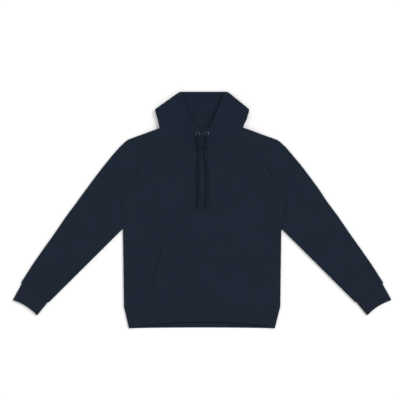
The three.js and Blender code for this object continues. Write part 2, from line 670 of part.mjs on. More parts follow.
// Tip: a sleeve crimped on the cord's end, face to face with the cord
function cordTip(route) {
  const [x, y, z] = route[route.length - 1];
  const start = y - SEAM_GAP;
  const length = start - TIP_END;
  const profile = [
    [0, 0], [TIP_RADIUS - TIP_BEVEL, 0], [TIP_RADIUS, TIP_BEVEL], [TIP_RADIUS, length - TIP_BEVEL],
    [TIP_RADIUS - TIP_BEVEL, length], [0, length],
  ].map(([radius, along]) => new THREE.Vector2(radius, along));
  return new THREE.LatheGeometry(profile, TIP_SIDES).rotateX(Math.PI).translate(x, start, z);
}

const cloth = (color, roughness) => new THREE.MeshStandardMaterial({ color, roughness, metalness: 0 });
const FINISH = {
  fleece: () => cloth(0x202a38, 0.92),
  rib: () => cloth(0x1f2836, 0.9),
  cord: () => cloth(0x1a212f, 0.8),
  tip: () => new THREE.MeshStandardMaterial({ color: 0x2b3342, roughness: 0.35, metalness: 0 }),
  eyelet: () => new THREE.MeshStandardMaterial({ color: 0xc8cacc, roughness: 0.25, metalness: 1 }),
};

const hoodie = new THREE.Group();
function add(name, geometry, finish) {
  const mesh = new THREE.Mesh(geometry, FINISH[finish]());
  mesh.name = name;
  hoodie.add(mesh);
}

const sleeveRight = sleeve();
const cuffRight = cuff();
const wing = {
  left: hoodHalf('left', lapRise),
  right: hoodHalf('right', () => 0),
};
const eyeletHeight = {
  left: clothPoint(wing.left.form, EYELET_PLACE.left, 1, LAP_RISE).at.z,
  right: clothPoint(wing.right.form, EYELET_PLACE.right, 1).at.z,
};

add('front', bodyPanel(1, FRONT_COLUMNS, FRONT_SIDE_ROWS), 'fleece');
add('back', bodyPanel(-1, BACK_COLUMNS, BACK_SIDE_ROWS), 'fleece');
add('sleeve_left', mirrored(sleeveRight), 'fleece');
add('sleeve_right', sleeveRight, 'fleece');
add('cuff_left', mirrored(cuffRight), 'rib');
add('cuff_right', cuffRight, 'rib');
add('waistband', waistband(), 'rib');
add('hood_left', pierced(mirrored(wing.left.geometry), EYELET_PLACE.left, eyeletHeight.left), 'fleece');
add('hood_right', pierced(wing.right.geometry, EYELET_PLACE.right, eyeletHeight.right), 'fleece');
add('hood_crown', crown(), 'fleece');
add('pocket', pocket(), 'fleece');
for (const hand of ['left', 'right']) {
  add(`eyelet_${hand}`, eyelet(EYELET_PLACE[hand], eyeletHeight[hand]), 'eyelet');
  add(`drawcord_${hand}`, drawcord(CORD_ROUTE[hand]), 'cord');
  add(`tip_${hand}`, cordTip(CORD_ROUTE[hand]), 'tip');
}

export default hoodie;
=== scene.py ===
"""A pullover hoodie laid flat on its back, front side up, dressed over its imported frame.

Sizes are in millimetres and turn to metres where a mesh is made. X runs across the chest, Y from
the hem to the hood and Z up from the surface that the garment lies on.
"""
import logging
import math
from dataclasses import dataclass, field
from enum import Enum
from typing import Callable, Sequence

import bpy
import numpy as np
from mathutils.bvhtree import BVHTree
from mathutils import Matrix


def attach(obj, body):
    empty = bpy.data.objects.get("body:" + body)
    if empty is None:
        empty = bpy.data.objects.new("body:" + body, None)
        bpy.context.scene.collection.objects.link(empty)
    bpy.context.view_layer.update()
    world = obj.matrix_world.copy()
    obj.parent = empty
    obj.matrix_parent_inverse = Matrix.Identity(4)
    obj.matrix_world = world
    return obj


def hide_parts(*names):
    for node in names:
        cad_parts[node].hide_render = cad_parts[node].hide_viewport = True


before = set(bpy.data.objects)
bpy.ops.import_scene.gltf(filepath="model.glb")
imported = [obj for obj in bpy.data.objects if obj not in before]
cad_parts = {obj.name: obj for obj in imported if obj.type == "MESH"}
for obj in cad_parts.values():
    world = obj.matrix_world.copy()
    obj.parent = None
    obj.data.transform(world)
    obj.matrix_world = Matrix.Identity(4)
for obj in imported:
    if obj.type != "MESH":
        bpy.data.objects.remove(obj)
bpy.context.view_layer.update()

MM = 0.001
BODY = "root"
LOG = logging.getLogger("hoodie")


class Hand(Enum):
    """Side of the garment in the picture."""

    LEFT = -1
    RIGHT = 1

    @property
    def word(self) -> str:
        """Word used in the names of pieces and nodes."""
        return self.name.lower()


class Layer(Enum):
    """Layer of a flattened tube of cloth."""

    UPPER = 1
    LOWER = -1


# Shapes in plan

# Depth, width and pucker of a seam on a layer that lies underneath
UNDER_SEAM = (-0.8, 7.0, 0.05)


def smoothstep(value: np.ndarray | float) -> np.ndarray:
    """Eases a value from 0 to 1 with level ends."""
    held = np.clip(value, 0.0, 1.0)
    return held * held * (3.0 - 2.0 * held)


def mix(start: np.ndarray | float, end: np.ndarray | float, share: np.ndarray | float) -> np.ndarray:
    """Goes from start to end by a share."""
    return start + (end - start) * share


def curve_value(table: Sequence[tuple[float, float]], at: np.ndarray | float) -> np.ndarray:
    """Reads a smooth curve through a short table.

    Args:
        table: rows of (place, value), the places rising.
        at: the places to read.

    Returns:
        The values there.
    """
    places, values = np.array(table, float).T
    slopes = np.gradient(values, places)
    at = np.asarray(at, float)
    k = np.clip(np.searchsorted(places, at) - 1, 0, len(places) - 2)
    span = places[k + 1] - places[k]
    share = np.clip((at - places[k]) / span, 0.0, 1.0)
    rest = 1.0 - share
    return (
        (1 + 2 * share) * rest**2 * values[k]
        + share * rest**2 * span * slopes[k]
        + share**2 * (3 - 2 * share) * values[k + 1]
        - share**2 * rest * span * slopes[k + 1]
    )


@dataclass(frozen=True)
class EdgeLine:
    """A line of points in plan, walked with the cloth on its left.

    Attributes:
        points: x and y of each point.
    """

    points: np.ndarray

    def outward(self) -> np.ndarray:
        """Outward unit normal of each stretch."""
        steps = np.diff(self.points, axis=0)
        return np.stack([steps[:, 1], -steps[:, 0]], axis=1) / np.linalg.norm(steps, axis=1)[:, None]

    def inset(self, distance: float) -> "EdgeLine":
        """Moves the line into the cloth.

        Args:
            distance: how far, in millimetres.

        Returns:
            The moved line, mitred at its corners.
        """
        out = self.outward()
        both = np.concatenate([out[:1], out]) + np.concatenate([out, out[-1:]])
        return EdgeLine(self.points - both * (2 * distance / np.sum(both**2, axis=1))[:, None])

    def walk(self, share: float) -> tuple[np.ndarray, np.ndarray]:
        """Finds a place on the line.

        Args:
            share: share of the line's length from its start.

        Returns:
            The place and the outward direction there.
        """
        lengths = np.linalg.norm(np.diff(self.points, axis=0), axis=1)
        ends = np.concatenate([[0.0], np.cumsum(lengths)])
        k = int(np.clip(np.searchsorted(ends, share * ends[-1]) - 1, 0, len(lengths) - 1))
        part = (share * ends[-1] - ends[k]) / lengths[k]
        return mix(self.points[k], self.points[k + 1], part), self.outward()[k]

    def nearest(self, x: np.ndarray, y: np.ndarray) -> np.ndarray:
        """Distance from each point to the line.

        Args:
            x: the points' x.
            y: the points' y.

        Returns:
            The distances.
        """
        best = np.full(np.broadcast(x, y).shape, np.inf)
        for start, end in zip(self.points[:-1], self.points[1:]):
            step = end - start
            share = np.clip(((x - start[0]) * step[0] + (y - start[1]) * step[1]) / (step @ step), 0, 1)
            away = np.hypot(x - start[0] - share * step[0], y - start[1] - share * step[1])
            best = np.minimum(best, away)
        return best


@dataclass(frozen=True)
class TwoLayers:
    """Two layers of cloth that lie on each other and roll into each other at their edges.

    Attributes:
        wall: thickness of each layer.
        air: space between them.
        lines: the edges where they roll, at the middle of the wall, on the right half.
        seam: how far the edge itself is off the roll's middle.
    """

    wall: float
    air: float
    lines: tuple[EdgeLine, ...]
    seam: float = 0.0

    @property
    def radius(self) -> float:
        """Radius of the roll, at the middle of the wall."""
        return (self.wall + self.air) / 2

    @property
    def middle(self) -> float:
        """Height of the roll's middle."""
        return self.wall + self.air / 2

    def insets(self, steps: int) -> np.ndarray:
        """Insets from the edge that follow the roll round, from the edge in."""
        return self.radius * (1 - np.cos(np.linspace(0, math.pi / 2, steps + 1)))

    def distance(self, x: np.ndarray, y: np.ndarray) -> np.ndarray:
        """Distance to the nearest edge line, on the right half or mirrored to it."""
        return np.min([line.nearest(np.abs(x), y) for line in self.lines], axis=0)

    def height(self, x: np.ndarray, y: np.ndarray, layer: Layer) -> np.ndarray:
        """Height of the middle of the wall.

        Args:
            x: the points' x.
            y: the points' y.
            layer: the layer that they are on.

        Returns:
            The heights.
        """
        cosine = np.clip(1 - self.distance(x, y) / self.radius, 0, 1)
        sine = np.sqrt(1 - cosine**2)
        return self.middle + layer.value * (self.radius * sine + self.seam * cosine)


@dataclass(frozen=True)
class Crease:
    """A soft trough or ridge, uneven along its length.

    Attributes:
        start: where it starts, x and y.
        end: where it ends.
        width: half its width in the middle.
        rise: its height, below zero for a trough.
        bow: how far its middle is pushed to the left of the way from start to end.
        wander: how far it wanders about its own line.
        mirror: whether the other half of the garment has it too.
    """

    start: tuple[float, float]
    end: tuple[float, float]
    width: float
    rise: float
    bow: float = 0.0
    wander: float = 2.0
    mirror: bool = True

    def height(self, x: np.ndarray, y: np.ndarray) -> np.ndarray:
        """Height that it gives to each point.

        Args:
            x: the points' x.
            y: the points' y.

        Returns:
            The heights.
        """
        across_x = np.abs(x) if self.mirror else x
        start, end = np.array(self.start), np.array(self.end)
        length = float(np.linalg.norm(end - start))
        ahead = (end - start) / length
        along = ((across_x - start[0]) * ahead[0] + (y - start[1]) * ahead[1]) / length
        aside = (across_x - start[0]) * -ahead[1] + (y - start[1]) * ahead[0]
        held = np.clip(along, 0, 1)
        aside = aside - self.bow * 4 * held * (1 - held)
        aside = aside - self.wander * np.sin(length / 31 * held + start[0] / 17)
        width = self.width * (0.62 + 0.38 * np.sin(math.pi * held)) * (1 + 0.18 * np.sin(7 * held + start[1]))
        taper = smoothstep((along + 0.12) / 0.34) * smoothstep((1.12 - along) / 0.34)
        offset = aside / width
        # The cloth that a fold takes up stands a little proud on both sides of it
        shape = np.exp(-(offset**2)) - 0.22 * np.exp(-(((np.abs(offset) - 1.75) / 0.7) ** 2))
        return self.rise * taper * shape


@dataclass(frozen=True)
class SewnLine:
    """A seam, where the cloth on both sides of it is drawn in.

    Attributes:
        line: the seam in plan, on the right half.
        depth: how far the cloth is drawn down, below zero on a lower layer.
        width: how far from the seam that reaches.
        pucker: height of the small puckers along it.
    """

    line: EdgeLine
    depth: float = 1.0
    width: float = 3.2
    pucker: float = 0.12

    def height(self, x: np.ndarray, y: np.ndarray) -> np.ndarray:
        """Height that it gives to each point.

        Args:
            x: the points' x.
            y: the points' y.

        Returns:
            The heights.
        """
        away = self.line.nearest(np.abs(x), y) / self.width
        along = x * 0.83 + y * 1.07
        pucker = self.pucker * np.sin(along / 1.9 + 1.6 * np.sin(along / 7.3)) * away * np.exp(1 - away)
        return -self.depth * np.exp(-(away**2)) + math.copysign(1, self.depth) * pucker


@dataclass(frozen=True)
class Lay:
    """How the whole garment lies: what lifts it, its lap and its creases.

    Attributes:
        lift: height that the folded crown gives to what lies over it.
        lift_half: half-width over which that is full.
        lift_start: y from which it is full.
        lift_fade: length over which it fades.
        lap_rise: rise of the left wing over the right one.
        lap_low: y of the lap's lower end.
        lap_high: y of its upper end.
        lap_full: distance to which its rise is full.
        lap_fade: distance at which it is gone.
        edge_fade: width beside a rolled edge over which relief fades.
        upper: creases on the side that shows.
        hood: creases on the wings.
        inner: creases inside the hood.
        under: creases on the side that lies down.
    """

    lift: float = 6.7
    lift_half: float = 158.0
    lift_start: float = 250.0
    lift_fade: float = 60.0
    lap_rise: float = 3.4
    lap_low: float = 214.0
    lap_high: float = 264.0
    lap_full: float = 34.0
    lap_fade: float = 76.0
    edge_fade: float = 20.0
    upper: tuple[Crease, ...] = (
        Crease((-204, 166), (-240, 84), 6.4, -3.3, bow=-3, mirror=False),
        Crease((-214, 170), (-250, 96), 9, 1.6, bow=-3, mirror=False),
        Crease((196, 164), (248, 84), 5.6, -2.9, bow=4, mirror=False),
        Crease((184, 152), (219, 76), 16, 0.9, bow=6),
        Crease((226, 166), (262, 108), 12, 0.7, bow=4),
        Crease((-286, 60), (-268, -52), 7.2, -3.3, bow=4, mirror=False),
        Crease((-297, 56), (-280, -48), 10, 1.6, bow=4, mirror=False),
        Crease((288.5, 60), (273, -48), 7.0, -3.3, bow=-4, mirror=False),
        Crease((308, 54), (297, -50), 15, 0.9, bow=-5),
        Crease((252, 20), (246, -52), 14, 0.7, bow=-3),
        Crease((338, 96), (322, 8), 14, -1.2, bow=-6),
        Crease((352, 66), (316, -40), 17, 1.0, bow=-6),
        Crease((398, 28), (350, -62), 15, -1.3, bow=-5),
        Crease((428, -8), (372, -92), 17, 1.1, bow=-4),
        Crease((452, -46), (402, -108), 13, -1.3, bow=-5),
        Crease((478, -84), (424, -142), 15, 1.2, bow=-4),
        Crease((505, -112), (452, -172), 13, -1.2, bow=-4),
        Crease((530, -150), (474, -204), 14, 1.1, bow=-3),
        Crease((560, -196), (506, -240), 12, -1.3, bow=-3),
        Crease((584, -222), (536, -268), 10, 1.0, bow=-2),
        Crease((150, 205), (205, 150), 20, -0.9, bow=6),
        Crease((60, 150), (132, 96), 30, 0.7, bow=8),
        Crease((196, -60), (250, -120), 24, -0.9, bow=6),
        Crease((214, -170), (256, -262), 18, 0.9, bow=-5),
        Crease((190, -262), (206, -322), 12, -0.8, bow=3),
        Crease((96, 62), (170, 10), 34, -0.6, bow=9),
        Crease((-70, -40), (40, -84), 30, 0.5, bow=8, mirror=False),
    )
    hood: tuple[Crease, ...] = (
        Crease((60, 244), (108, 286), 12, -1.1, bow=-6),
        Crease((44, 262), (96, 322), 14, 0.9, bow=-8),
        Crease((112, 300), (148, 336), 14, -1.0, bow=4),
        Crease((70, 336), (132, 352), 14, 0.9, bow=-5),
        Crease((82, 384), (112, 352), 11, -0.9, bow=4),
    )
    inner: tuple[Crease, ...] = (
        Crease((-44, 366), (40, 362), 16, 0.8, bow=-8, mirror=False),
        Crease((16, 320.5), (46, 318.6), 3, 1.7, wander=0.4, mirror=False),
        Crease((18, 317.4), (44, 316.2), 1.8, -1.2, wander=0.3, mirror=False),
        Crease((6, 330), (34, 356), 12, 0.8, bow=-4, mirror=False),
    )
    under: tuple[Crease, ...] = (
        Crease((40, -220), (170, -160), 22, 0.9, bow=10),
        Crease((210, 40), (250, -50), 14, 1.0, bow=5),
        Crease((60, 60), (190, 110), 24, 0.8, bow=-9),
        Crease((330, -10), (376, -88), 14, 1.0, bow=4),
        Crease((420, -100), (470, -160), 13, 0.9, bow=3),
        Crease((500, -190), (540, -240), 11, 0.9, bow=2),
        Crease((80, -120), (190, -60), 26, 0.7, bow=9),
    )

    def raised(self, x: np.ndarray, y: np.ndarray) -> np.ndarray:
        """Height that the crown folded behind the neck gives to all that lies over it."""
        away = np.hypot(np.maximum(np.abs(x) - self.lift_half, 0), np.maximum(self.lift_start - y, 0))
        return self.lift * (1 - smoothstep(away / self.lift_fade))

    def lapped(self, x: np.ndarray, y: np.ndarray) -> np.ndarray:
        """Rise of the left wing over the right one."""
        away = np.hypot(x, np.maximum(np.maximum(self.lap_low - y, y - self.lap_high), 0))
        return self.lap_rise * (1 - smoothstep((away - self.lap_full) / (self.lap_fade - self.lap_full)))

    def sway(self, x: np.ndarray, y: np.ndarray) -> np.ndarray:
        """Very soft unevenness that all slack cloth has, in millimetres.

        Args:
            x: the points' x.
            y: the points' y.

        Returns:
            The heights.
        """
        return (
            0.22 * np.sin(x / 37 + 1.3 * np.sin(y / 61)) * np.cos(y / 43 + 0.7 * np.sin(x / 53))
            + 0.12 * np.sin(x / 17 + y / 29) * np.sin(y / 19 - x / 47)
        )

    def cloth(
        self, form: TwoLayers, plan: np.ndarray, layer: Layer, creases: Sequence[Crease | SewnLine] = (),
        rise: Callable[[np.ndarray, np.ndarray], np.ndarray] | None = None,
    ) -> np.ndarray:
        """Lays points of a plan on their layer.

        Args:
            form: the two layers that the points belong to.
            plan: x and y of each point.
            layer: the layer that they are on.
            creases: the creases on it.
            rise: a further rise, from x and y.

        Returns:
            x, y and z of each point, at the middle of the wall.
        """
        x, y = plan[..., 0], plan[..., 1]
        relief = self.sway(x, y) if layer is Layer.UPPER else np.zeros_like(x)
        for crease in creases:
            relief = relief + crease.height(x, y)
        if layer is Layer.LOWER:
            relief = np.maximum(relief, 0)
        fade = smoothstep(form.distance(x, y) / self.edge_fade)
        height = form.height(x, y, layer) + self.raised(x, y) + relief * fade
        if rise is not None:
            height = height + rise(x, y)
        return np.stack([x, y, height], axis=-1)


# Making meshes

# Vertex group that holds the share of the wall at each point
WALL_GROUP = "wall"
# Lines of points in the half round of a raw edge, and the least share of the wall that it thins to
EDGE_STEPS = 4
THIN_EDGE = 0.25
# Lines of points in the quarter turn where two layers roll into each other
ROLL_STEPS = 6


def deselect() -> None:
    """Leaves nothing selected, because an operator acts on all that is."""
    bpy.ops.object.select_all(action="DESELECT")


def name_active(name: str) -> bpy.types.Object:
    """Names the active object and its mesh.

    Args:
        name: its name.

    Returns:
        The object.
    """
    piece = bpy.context.object
    piece.name = name
    piece.data.name = name
    return piece


def activate(piece: bpy.types.Object) -> None:
    """Makes a piece the only one selected, and the active one.

    Args:
        piece: the piece.
    """
    deselect()
    piece.select_set(True)
    bpy.context.view_layer.objects.active = piece


def edit(piece: bpy.types.Object, *steps: Callable[[], object]) -> None:
    """Runs steps in edit mode on the whole mesh.

    Args:
        piece: the piece.
        steps: the steps.
    """
    activate(piece)
    bpy.ops.object.mode_set(mode="EDIT")
    bpy.ops.mesh.select_all(action="SELECT")
    for step in steps:
        step()
    bpy.ops.object.mode_set(mode="OBJECT")


def modify(piece: bpy.types.Object, kind: str, **settings: object) -> None:
    """Adds a modifier and applies it.

    Args:
        piece: the piece.
        kind: the modifier's type.
        settings: its settings.
    """
    activate(piece)
    modifier = piece.modifiers.new(kind.title(), kind)
    for name, value in settings.items():
        setattr(modifier, name, value)
    bpy.ops.object.modifier_apply(modifier=modifier.name)


def shade(piece: bpy.types.Object, degrees: float = 40.0) -> None:
    """Shades a piece smooth, with its sharper edges left crisp."""
    activate(piece)
    bpy.ops.object.shade_smooth_by_angle(angle=math.radians(degrees))


def grid_piece(
    name: str, points: np.ndarray, ring: bool = False, weights: np.ndarray | None = None,
) -> bpy.types.Object:
    """Makes a grid and moves its points to a surface.

    Args:
        name: the piece's name.
        points: rows by columns by (x, y, z), in millimetres.
        ring: whether the last column meets the first.
        weights: share of the wall at each point, kept as a vertex group.

    Returns:
        The piece, with a UV map in millimetres along its rows and columns.
    """
    if ring:
        points = np.concatenate([points, points[:, :1]], axis=1)
        weights = None if weights is None else np.concatenate([weights, weights[:, :1]], axis=1)
    rows, columns = points.shape[:2]
    deselect()
    bpy.ops.mesh.primitive_grid_add(x_subdivisions=columns - 1, y_subdivisions=rows - 1, size=1)
    piece = name_active(name)
    flat = np.empty(len(piece.data.vertices) * 3)
    piece.data.vertices.foreach_get("co", flat)
    share = flat.reshape(-1, 3)[:, :2] + 0.5
    i = np.rint(share[:, 0] * (columns - 1)).astype(int)
    j = np.rint(share[:, 1] * (rows - 1)).astype(int)
    piece.data.vertices.foreach_set("co", (points[j, i] * MM).ravel())
    across = np.linalg.norm(np.diff(points, axis=1), axis=2).mean(axis=0)
    along = np.linalg.norm(np.diff(points, axis=0), axis=2).mean(axis=1)
    u = np.concatenate([[0.0], np.cumsum(across)])
    v = np.concatenate([[0.0], np.cumsum(along)])
    corners = np.empty(len(piece.data.loops), int)
    piece.data.loops.foreach_get("vertex_index", corners)
    layer = piece.data.uv_layers[0]
    layer.data.foreach_set("uv", np.stack([u[i[corners]], v[j[corners]]], axis=1).ravel())
    piece.data.update()
    if weights is not None:
        group = piece.vertex_groups.new(name=WALL_GROUP)
        each = weights[j, i]
        for weight in np.unique(each):
            group.add(np.flatnonzero(each == weight).tolist(), float(weight), "REPLACE")
    if ring:
        edit(piece, lambda: bpy.ops.mesh.remove_doubles(threshold=0.00001))
    return piece


class Side(Enum):
    """Side of a grid of points: which axis runs away from it, and from which end."""

    FIRST_ROW = (0, False)
    LAST_ROW = (0, True)
    FIRST_COLUMN = (1, False)
    LAST_COLUMN = (1, True)


def round_edge(
    points: np.ndarray, weights: np.ndarray, wall: float, side: Side,
) -> tuple[np.ndarray, np.ndarray]:
    """Adds lines of points along an edge where the wall thins in a half round.

    Args:
        points: rows by columns by (x, y, z).
        weights: share of the full wall at each point.
        wall: thickness of the wall.
        side: the edge.

    Returns:
        The new points and weights.
    """
    axis, at_end = side.value

    def turned(grid: np.ndarray) -> np.ndarray:
        """Turns a grid so that the edge comes first."""
        grid = np.swapaxes(grid, 0, axis)
        return grid[::-1] if at_end else grid

    def back(grid: np.ndarray) -> np.ndarray:
        """Turns it back again."""
        return np.swapaxes(grid[::-1] if at_end else grid, 0, axis)

    lines, shares = turned(points), turned(weights)
    step = lines[1] - lines[0]
    length = np.maximum(np.linalg.norm(step, axis=1), 0.001)
    angles = np.linspace(0, math.pi / 2, EDGE_STEPS + 1)
    away = wall / 2 * (1 - np.cos(angles))[:, None] / length
    away = np.minimum(away, 0.9 * np.linspace(0, 1, len(angles))[:, None])
    added = lines[0] + step * away[..., None]
    thin = np.maximum(np.sin(angles), THIN_EDGE)[:, None] * shares[0]
    return back(np.concatenate([added, lines[1:]])), back(np.concatenate([thin, shares[1:]]))


def cloth_piece(
    name: str, points: np.ndarray, wall: float, rounded: Sequence[Side] = (), ring: bool = False,
) -> bpy.types.Object:
    """Makes a wall of cloth about a surface of middle points, closed round its edges.

    Args:
        name: the piece's name.
        points: rows by columns by (x, y, z), in millimetres.
        wall: thickness of the cloth.
        rounded: the edges that are rounded.
        ring: whether the last column meets the first.

    Returns:
        The piece.
    """
    weights = np.ones(points.shape[:2])
    for side in rounded:
        points, weights = round_edge(points, weights, wall, side)
    piece = grid_piece(name, points, ring, np.round(weights, 2))
    modify(piece, "SOLIDIFY", thickness=wall * MM, offset=0.0, vertex_group=WALL_GROUP)
    piece.vertex_groups.clear()
    shade(piece, 50)
    return piece


def dress(piece: bpy.types.Object, slot: str, material: bpy.types.Material, *nodes: str) -> None:
    """Rides a piece on the garment and gives it its finish.

    Args:
        piece: the finished piece.
        slot: the record's material slot; not used.
        material: the finish.
        nodes: the nodes that the piece stands for.
    """
    piece.data.materials.clear()
    piece.data.materials.append(material)
    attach(piece, BODY)
    if nodes:
        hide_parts(*nodes)
    LOG.info("%s: %d faces", piece.name, len(piece.data.polygons))


# Finishes


def linear(hex_colour: str) -> tuple[float, float, float, float]:
    """Turns an sRGB hex colour to linear."""
    channels = [int(hex_colour[k:k + 2], 16) / 255 for k in (0, 2, 4)]
    return (*(c / 12.92 if c <= 0.04045 else ((c + 0.055) / 1.055) ** 2.4 for c in channels), 1.0)


def node(
    tree: bpy.types.NodeTree, kind: str, inputs: dict[str | int, object] | None = None, **settings: object,
) -> bpy.types.Node:
    """Adds a node with its settings, and its values or links.

    Args:
        tree: the node tree.
        kind: the node's type.
        inputs: by socket, a value or the output socket to link.
        settings: the node's own properties.

    Returns:
        The node.
    """
    made = tree.nodes.new(kind)
    for name, value in settings.items():
        setattr(made, name, value)
    for socket, value in (inputs or {}).items():
        if isinstance(value, bpy.types.NodeSocket):
            tree.links.new(value, made.inputs[socket])
        else:
            made.inputs[socket].default_value = value
    return made


def sums(tree: bpy.types.NodeTree, operation: str, *values: object) -> bpy.types.NodeSocket:
    """Adds a sum on values or sockets."""
    return node(tree, "ShaderNodeMath", dict(enumerate(values)), operation=operation).outputs[0]


def noise(tree: bpy.types.NodeTree, scale: float, detail: float, roughness: float) -> bpy.types.NodeSocket:
    """Adds noise that stays fixed to the piece.

    Args:
        tree: the node tree.
        scale: marks to a metre.
        detail: how many finer levels it has.
        roughness: how strong those are.

    Returns:
        The socket with its value.
    """
    place = node(tree, "ShaderNodeTexCoord").outputs["Object"]
    settings = {"Vector": place, "Scale": scale, "Detail": detail, "Roughness": roughness}
    return node(tree, "ShaderNodeTexNoise", settings).outputs["Fac"]


def spread_over(
    tree: bpy.types.NodeTree, value: bpy.types.NodeSocket, span: tuple[float, float], to: tuple[float, float],
) -> bpy.types.NodeSocket:
    """Adds a change from one span of values to another."""
    return node(tree, "ShaderNodeMapRange", dict(enumerate((value, *span, *to)))).outputs[0]


def blend(
    tree: bpy.types.NodeTree, share: bpy.types.NodeSocket, first: str, second: str,
) -> bpy.types.NodeSocket:
    """Adds a mix of two colours."""
    inputs = {"Factor": share, 6: linear(first), 7: linear(second)}
    return node(tree, "ShaderNodeMix", inputs, data_type="RGBA").outputs[2]


def new_material(name: str) -> tuple[bpy.types.Material, bpy.types.NodeTree, bpy.types.Node]:
    """Makes a material with a bare shader.

    Args:
        name: the finish, in plain words.

    Returns:
        The material, its tree and its shader.
    """
    material = bpy.data.materials.new(name)
    material.use_nodes = True
    tree = material.node_tree
    return material, tree, tree.nodes["Principled BSDF"]


@dataclass(frozen=True)
class KnitFinish:
    """Knitted cotton with a brushed back: matt, with a faint nap that pales it at grazing angles.

    Attributes:
        name: the finish's name.
        colour: the cloth's main colour.
        shadow: the darker colour that the cloth goes to in random patches and flecks.
        pitch: width of one knitted column. The real 1.1 mm is too fine to show, so it is drawn coarser.
        course: height of one knitted row.
        bump: how deep the knit looks.
        sheen: strength of the nap.
    """

    name: str = "cotton fleece"
    colour: str = "182230"
    shadow: str = "141b29"
    pitch: float = 2.2
    course: float = 1.8
    bump: float = 0.25
    sheen: float = 0.05

    def make(self) -> bpy.types.Material:
        """Builds the finish.

        Returns:
            The material.
        """
        material, tree, shader = new_material(self.name)
        parts = node(tree, "ShaderNodeSeparateXYZ", {0: node(tree, "ShaderNodeUVMap").outputs["UV"]})
        turn = 2 * math.pi
        # Columns of V stitches: the rows' phase leans to and fro with the column
        column = sums(tree, "MULTIPLY", parts.outputs["X"], turn / self.pitch)
        wale = sums(tree, "COSINE", column)
        lean = sums(tree, "MULTIPLY", wale, 1.1)
        row = sums(tree, "MULTIPLY", parts.outputs["Y"], turn / self.course)
        loop = sums(tree, "SINE", sums(tree, "ADD", row, lean))
        knit = sums(tree, "MULTIPLY_ADD", wale, 0.7, loop)
        # Loose fibres of about 2 mm, which break up the light so that the cloth looks brushed
        fuzz = noise(tree, 420.0, 3.0, 0.65)
        # Patches of about 110 mm, where wear and washing leave the tone a little uneven
        cloud = noise(tree, 9.0, 3.0, 0.5)
        tone = spread_over(tree, cloud, (0.3, 0.7), (0.6, 1.0))
        fleck = spread_over(tree, fuzz, (0.35, 0.7), (0.8, 1.0))
        colour = blend(tree, sums(tree, "MULTIPLY", tone, fleck), self.shadow, self.colour)
        relief = sums(tree, "MULTIPLY_ADD", fuzz, 2.2, knit)
        bump = node(
            tree, "ShaderNodeBump", {"Height": relief, "Strength": self.bump, "Distance": 0.0004})
        tree.links.new(colour, shader.inputs["Base Color"])
        tree.links.new(bump.outputs["Normal"], shader.inputs["Normal"])
        shader.inputs["Roughness"].default_value = 0.92
        shader.inputs["Specular IOR Level"].default_value = 0.08
        shader.inputs["Sheen Weight"].default_value = self.sheen
        shader.inputs["Sheen Roughness"].default_value = 0.6
        return material


@dataclass(frozen=True)
class PlainFinish:
    """A smooth finish of one colour with fine wear.

    Attributes:
        name: the finish's name.
        colour: its main colour.
        worn: its colour where handling has dulled it.
        metallic: 1 for a metal.
        roughness: its roughness where fresh, and where worn.
        grain: how many marks there are to a metre.
        specular: strength of the reflection, on what isn't a metal.
    """

    name: str
    colour: str
    worn: str
    metallic: float
    roughness: tuple[float, float]
    grain: float
    specular: float = 0.5

    def make(self) -> bpy.types.Material:
        """Builds the finish.

        Returns:
            The material.
        """
        material, tree, shader = new_material(self.name)
        marks = noise(tree, self.grain, 4.0, 0.6)
        share = spread_over(tree, marks, (0.35, 0.75), (0.0, 1.0))
        rough = spread_over(tree, marks, (0.3, 0.7), self.roughness)
        bump = node(tree, "ShaderNodeBump", {"Height": marks, "Strength": 0.08, "Distance": 0.0002})
        tree.links.new(blend(tree, share, self.colour, self.worn), shader.inputs["Base Color"])
        tree.links.new(rough, shader.inputs["Roughness"])
        tree.links.new(bump.outputs["Normal"], shader.inputs["Normal"])
        shader.inputs["Metallic"].default_value = self.metallic
        shader.inputs["Specular IOR Level"].default_value = self.specular
        return material


# Sizes that several pieces share


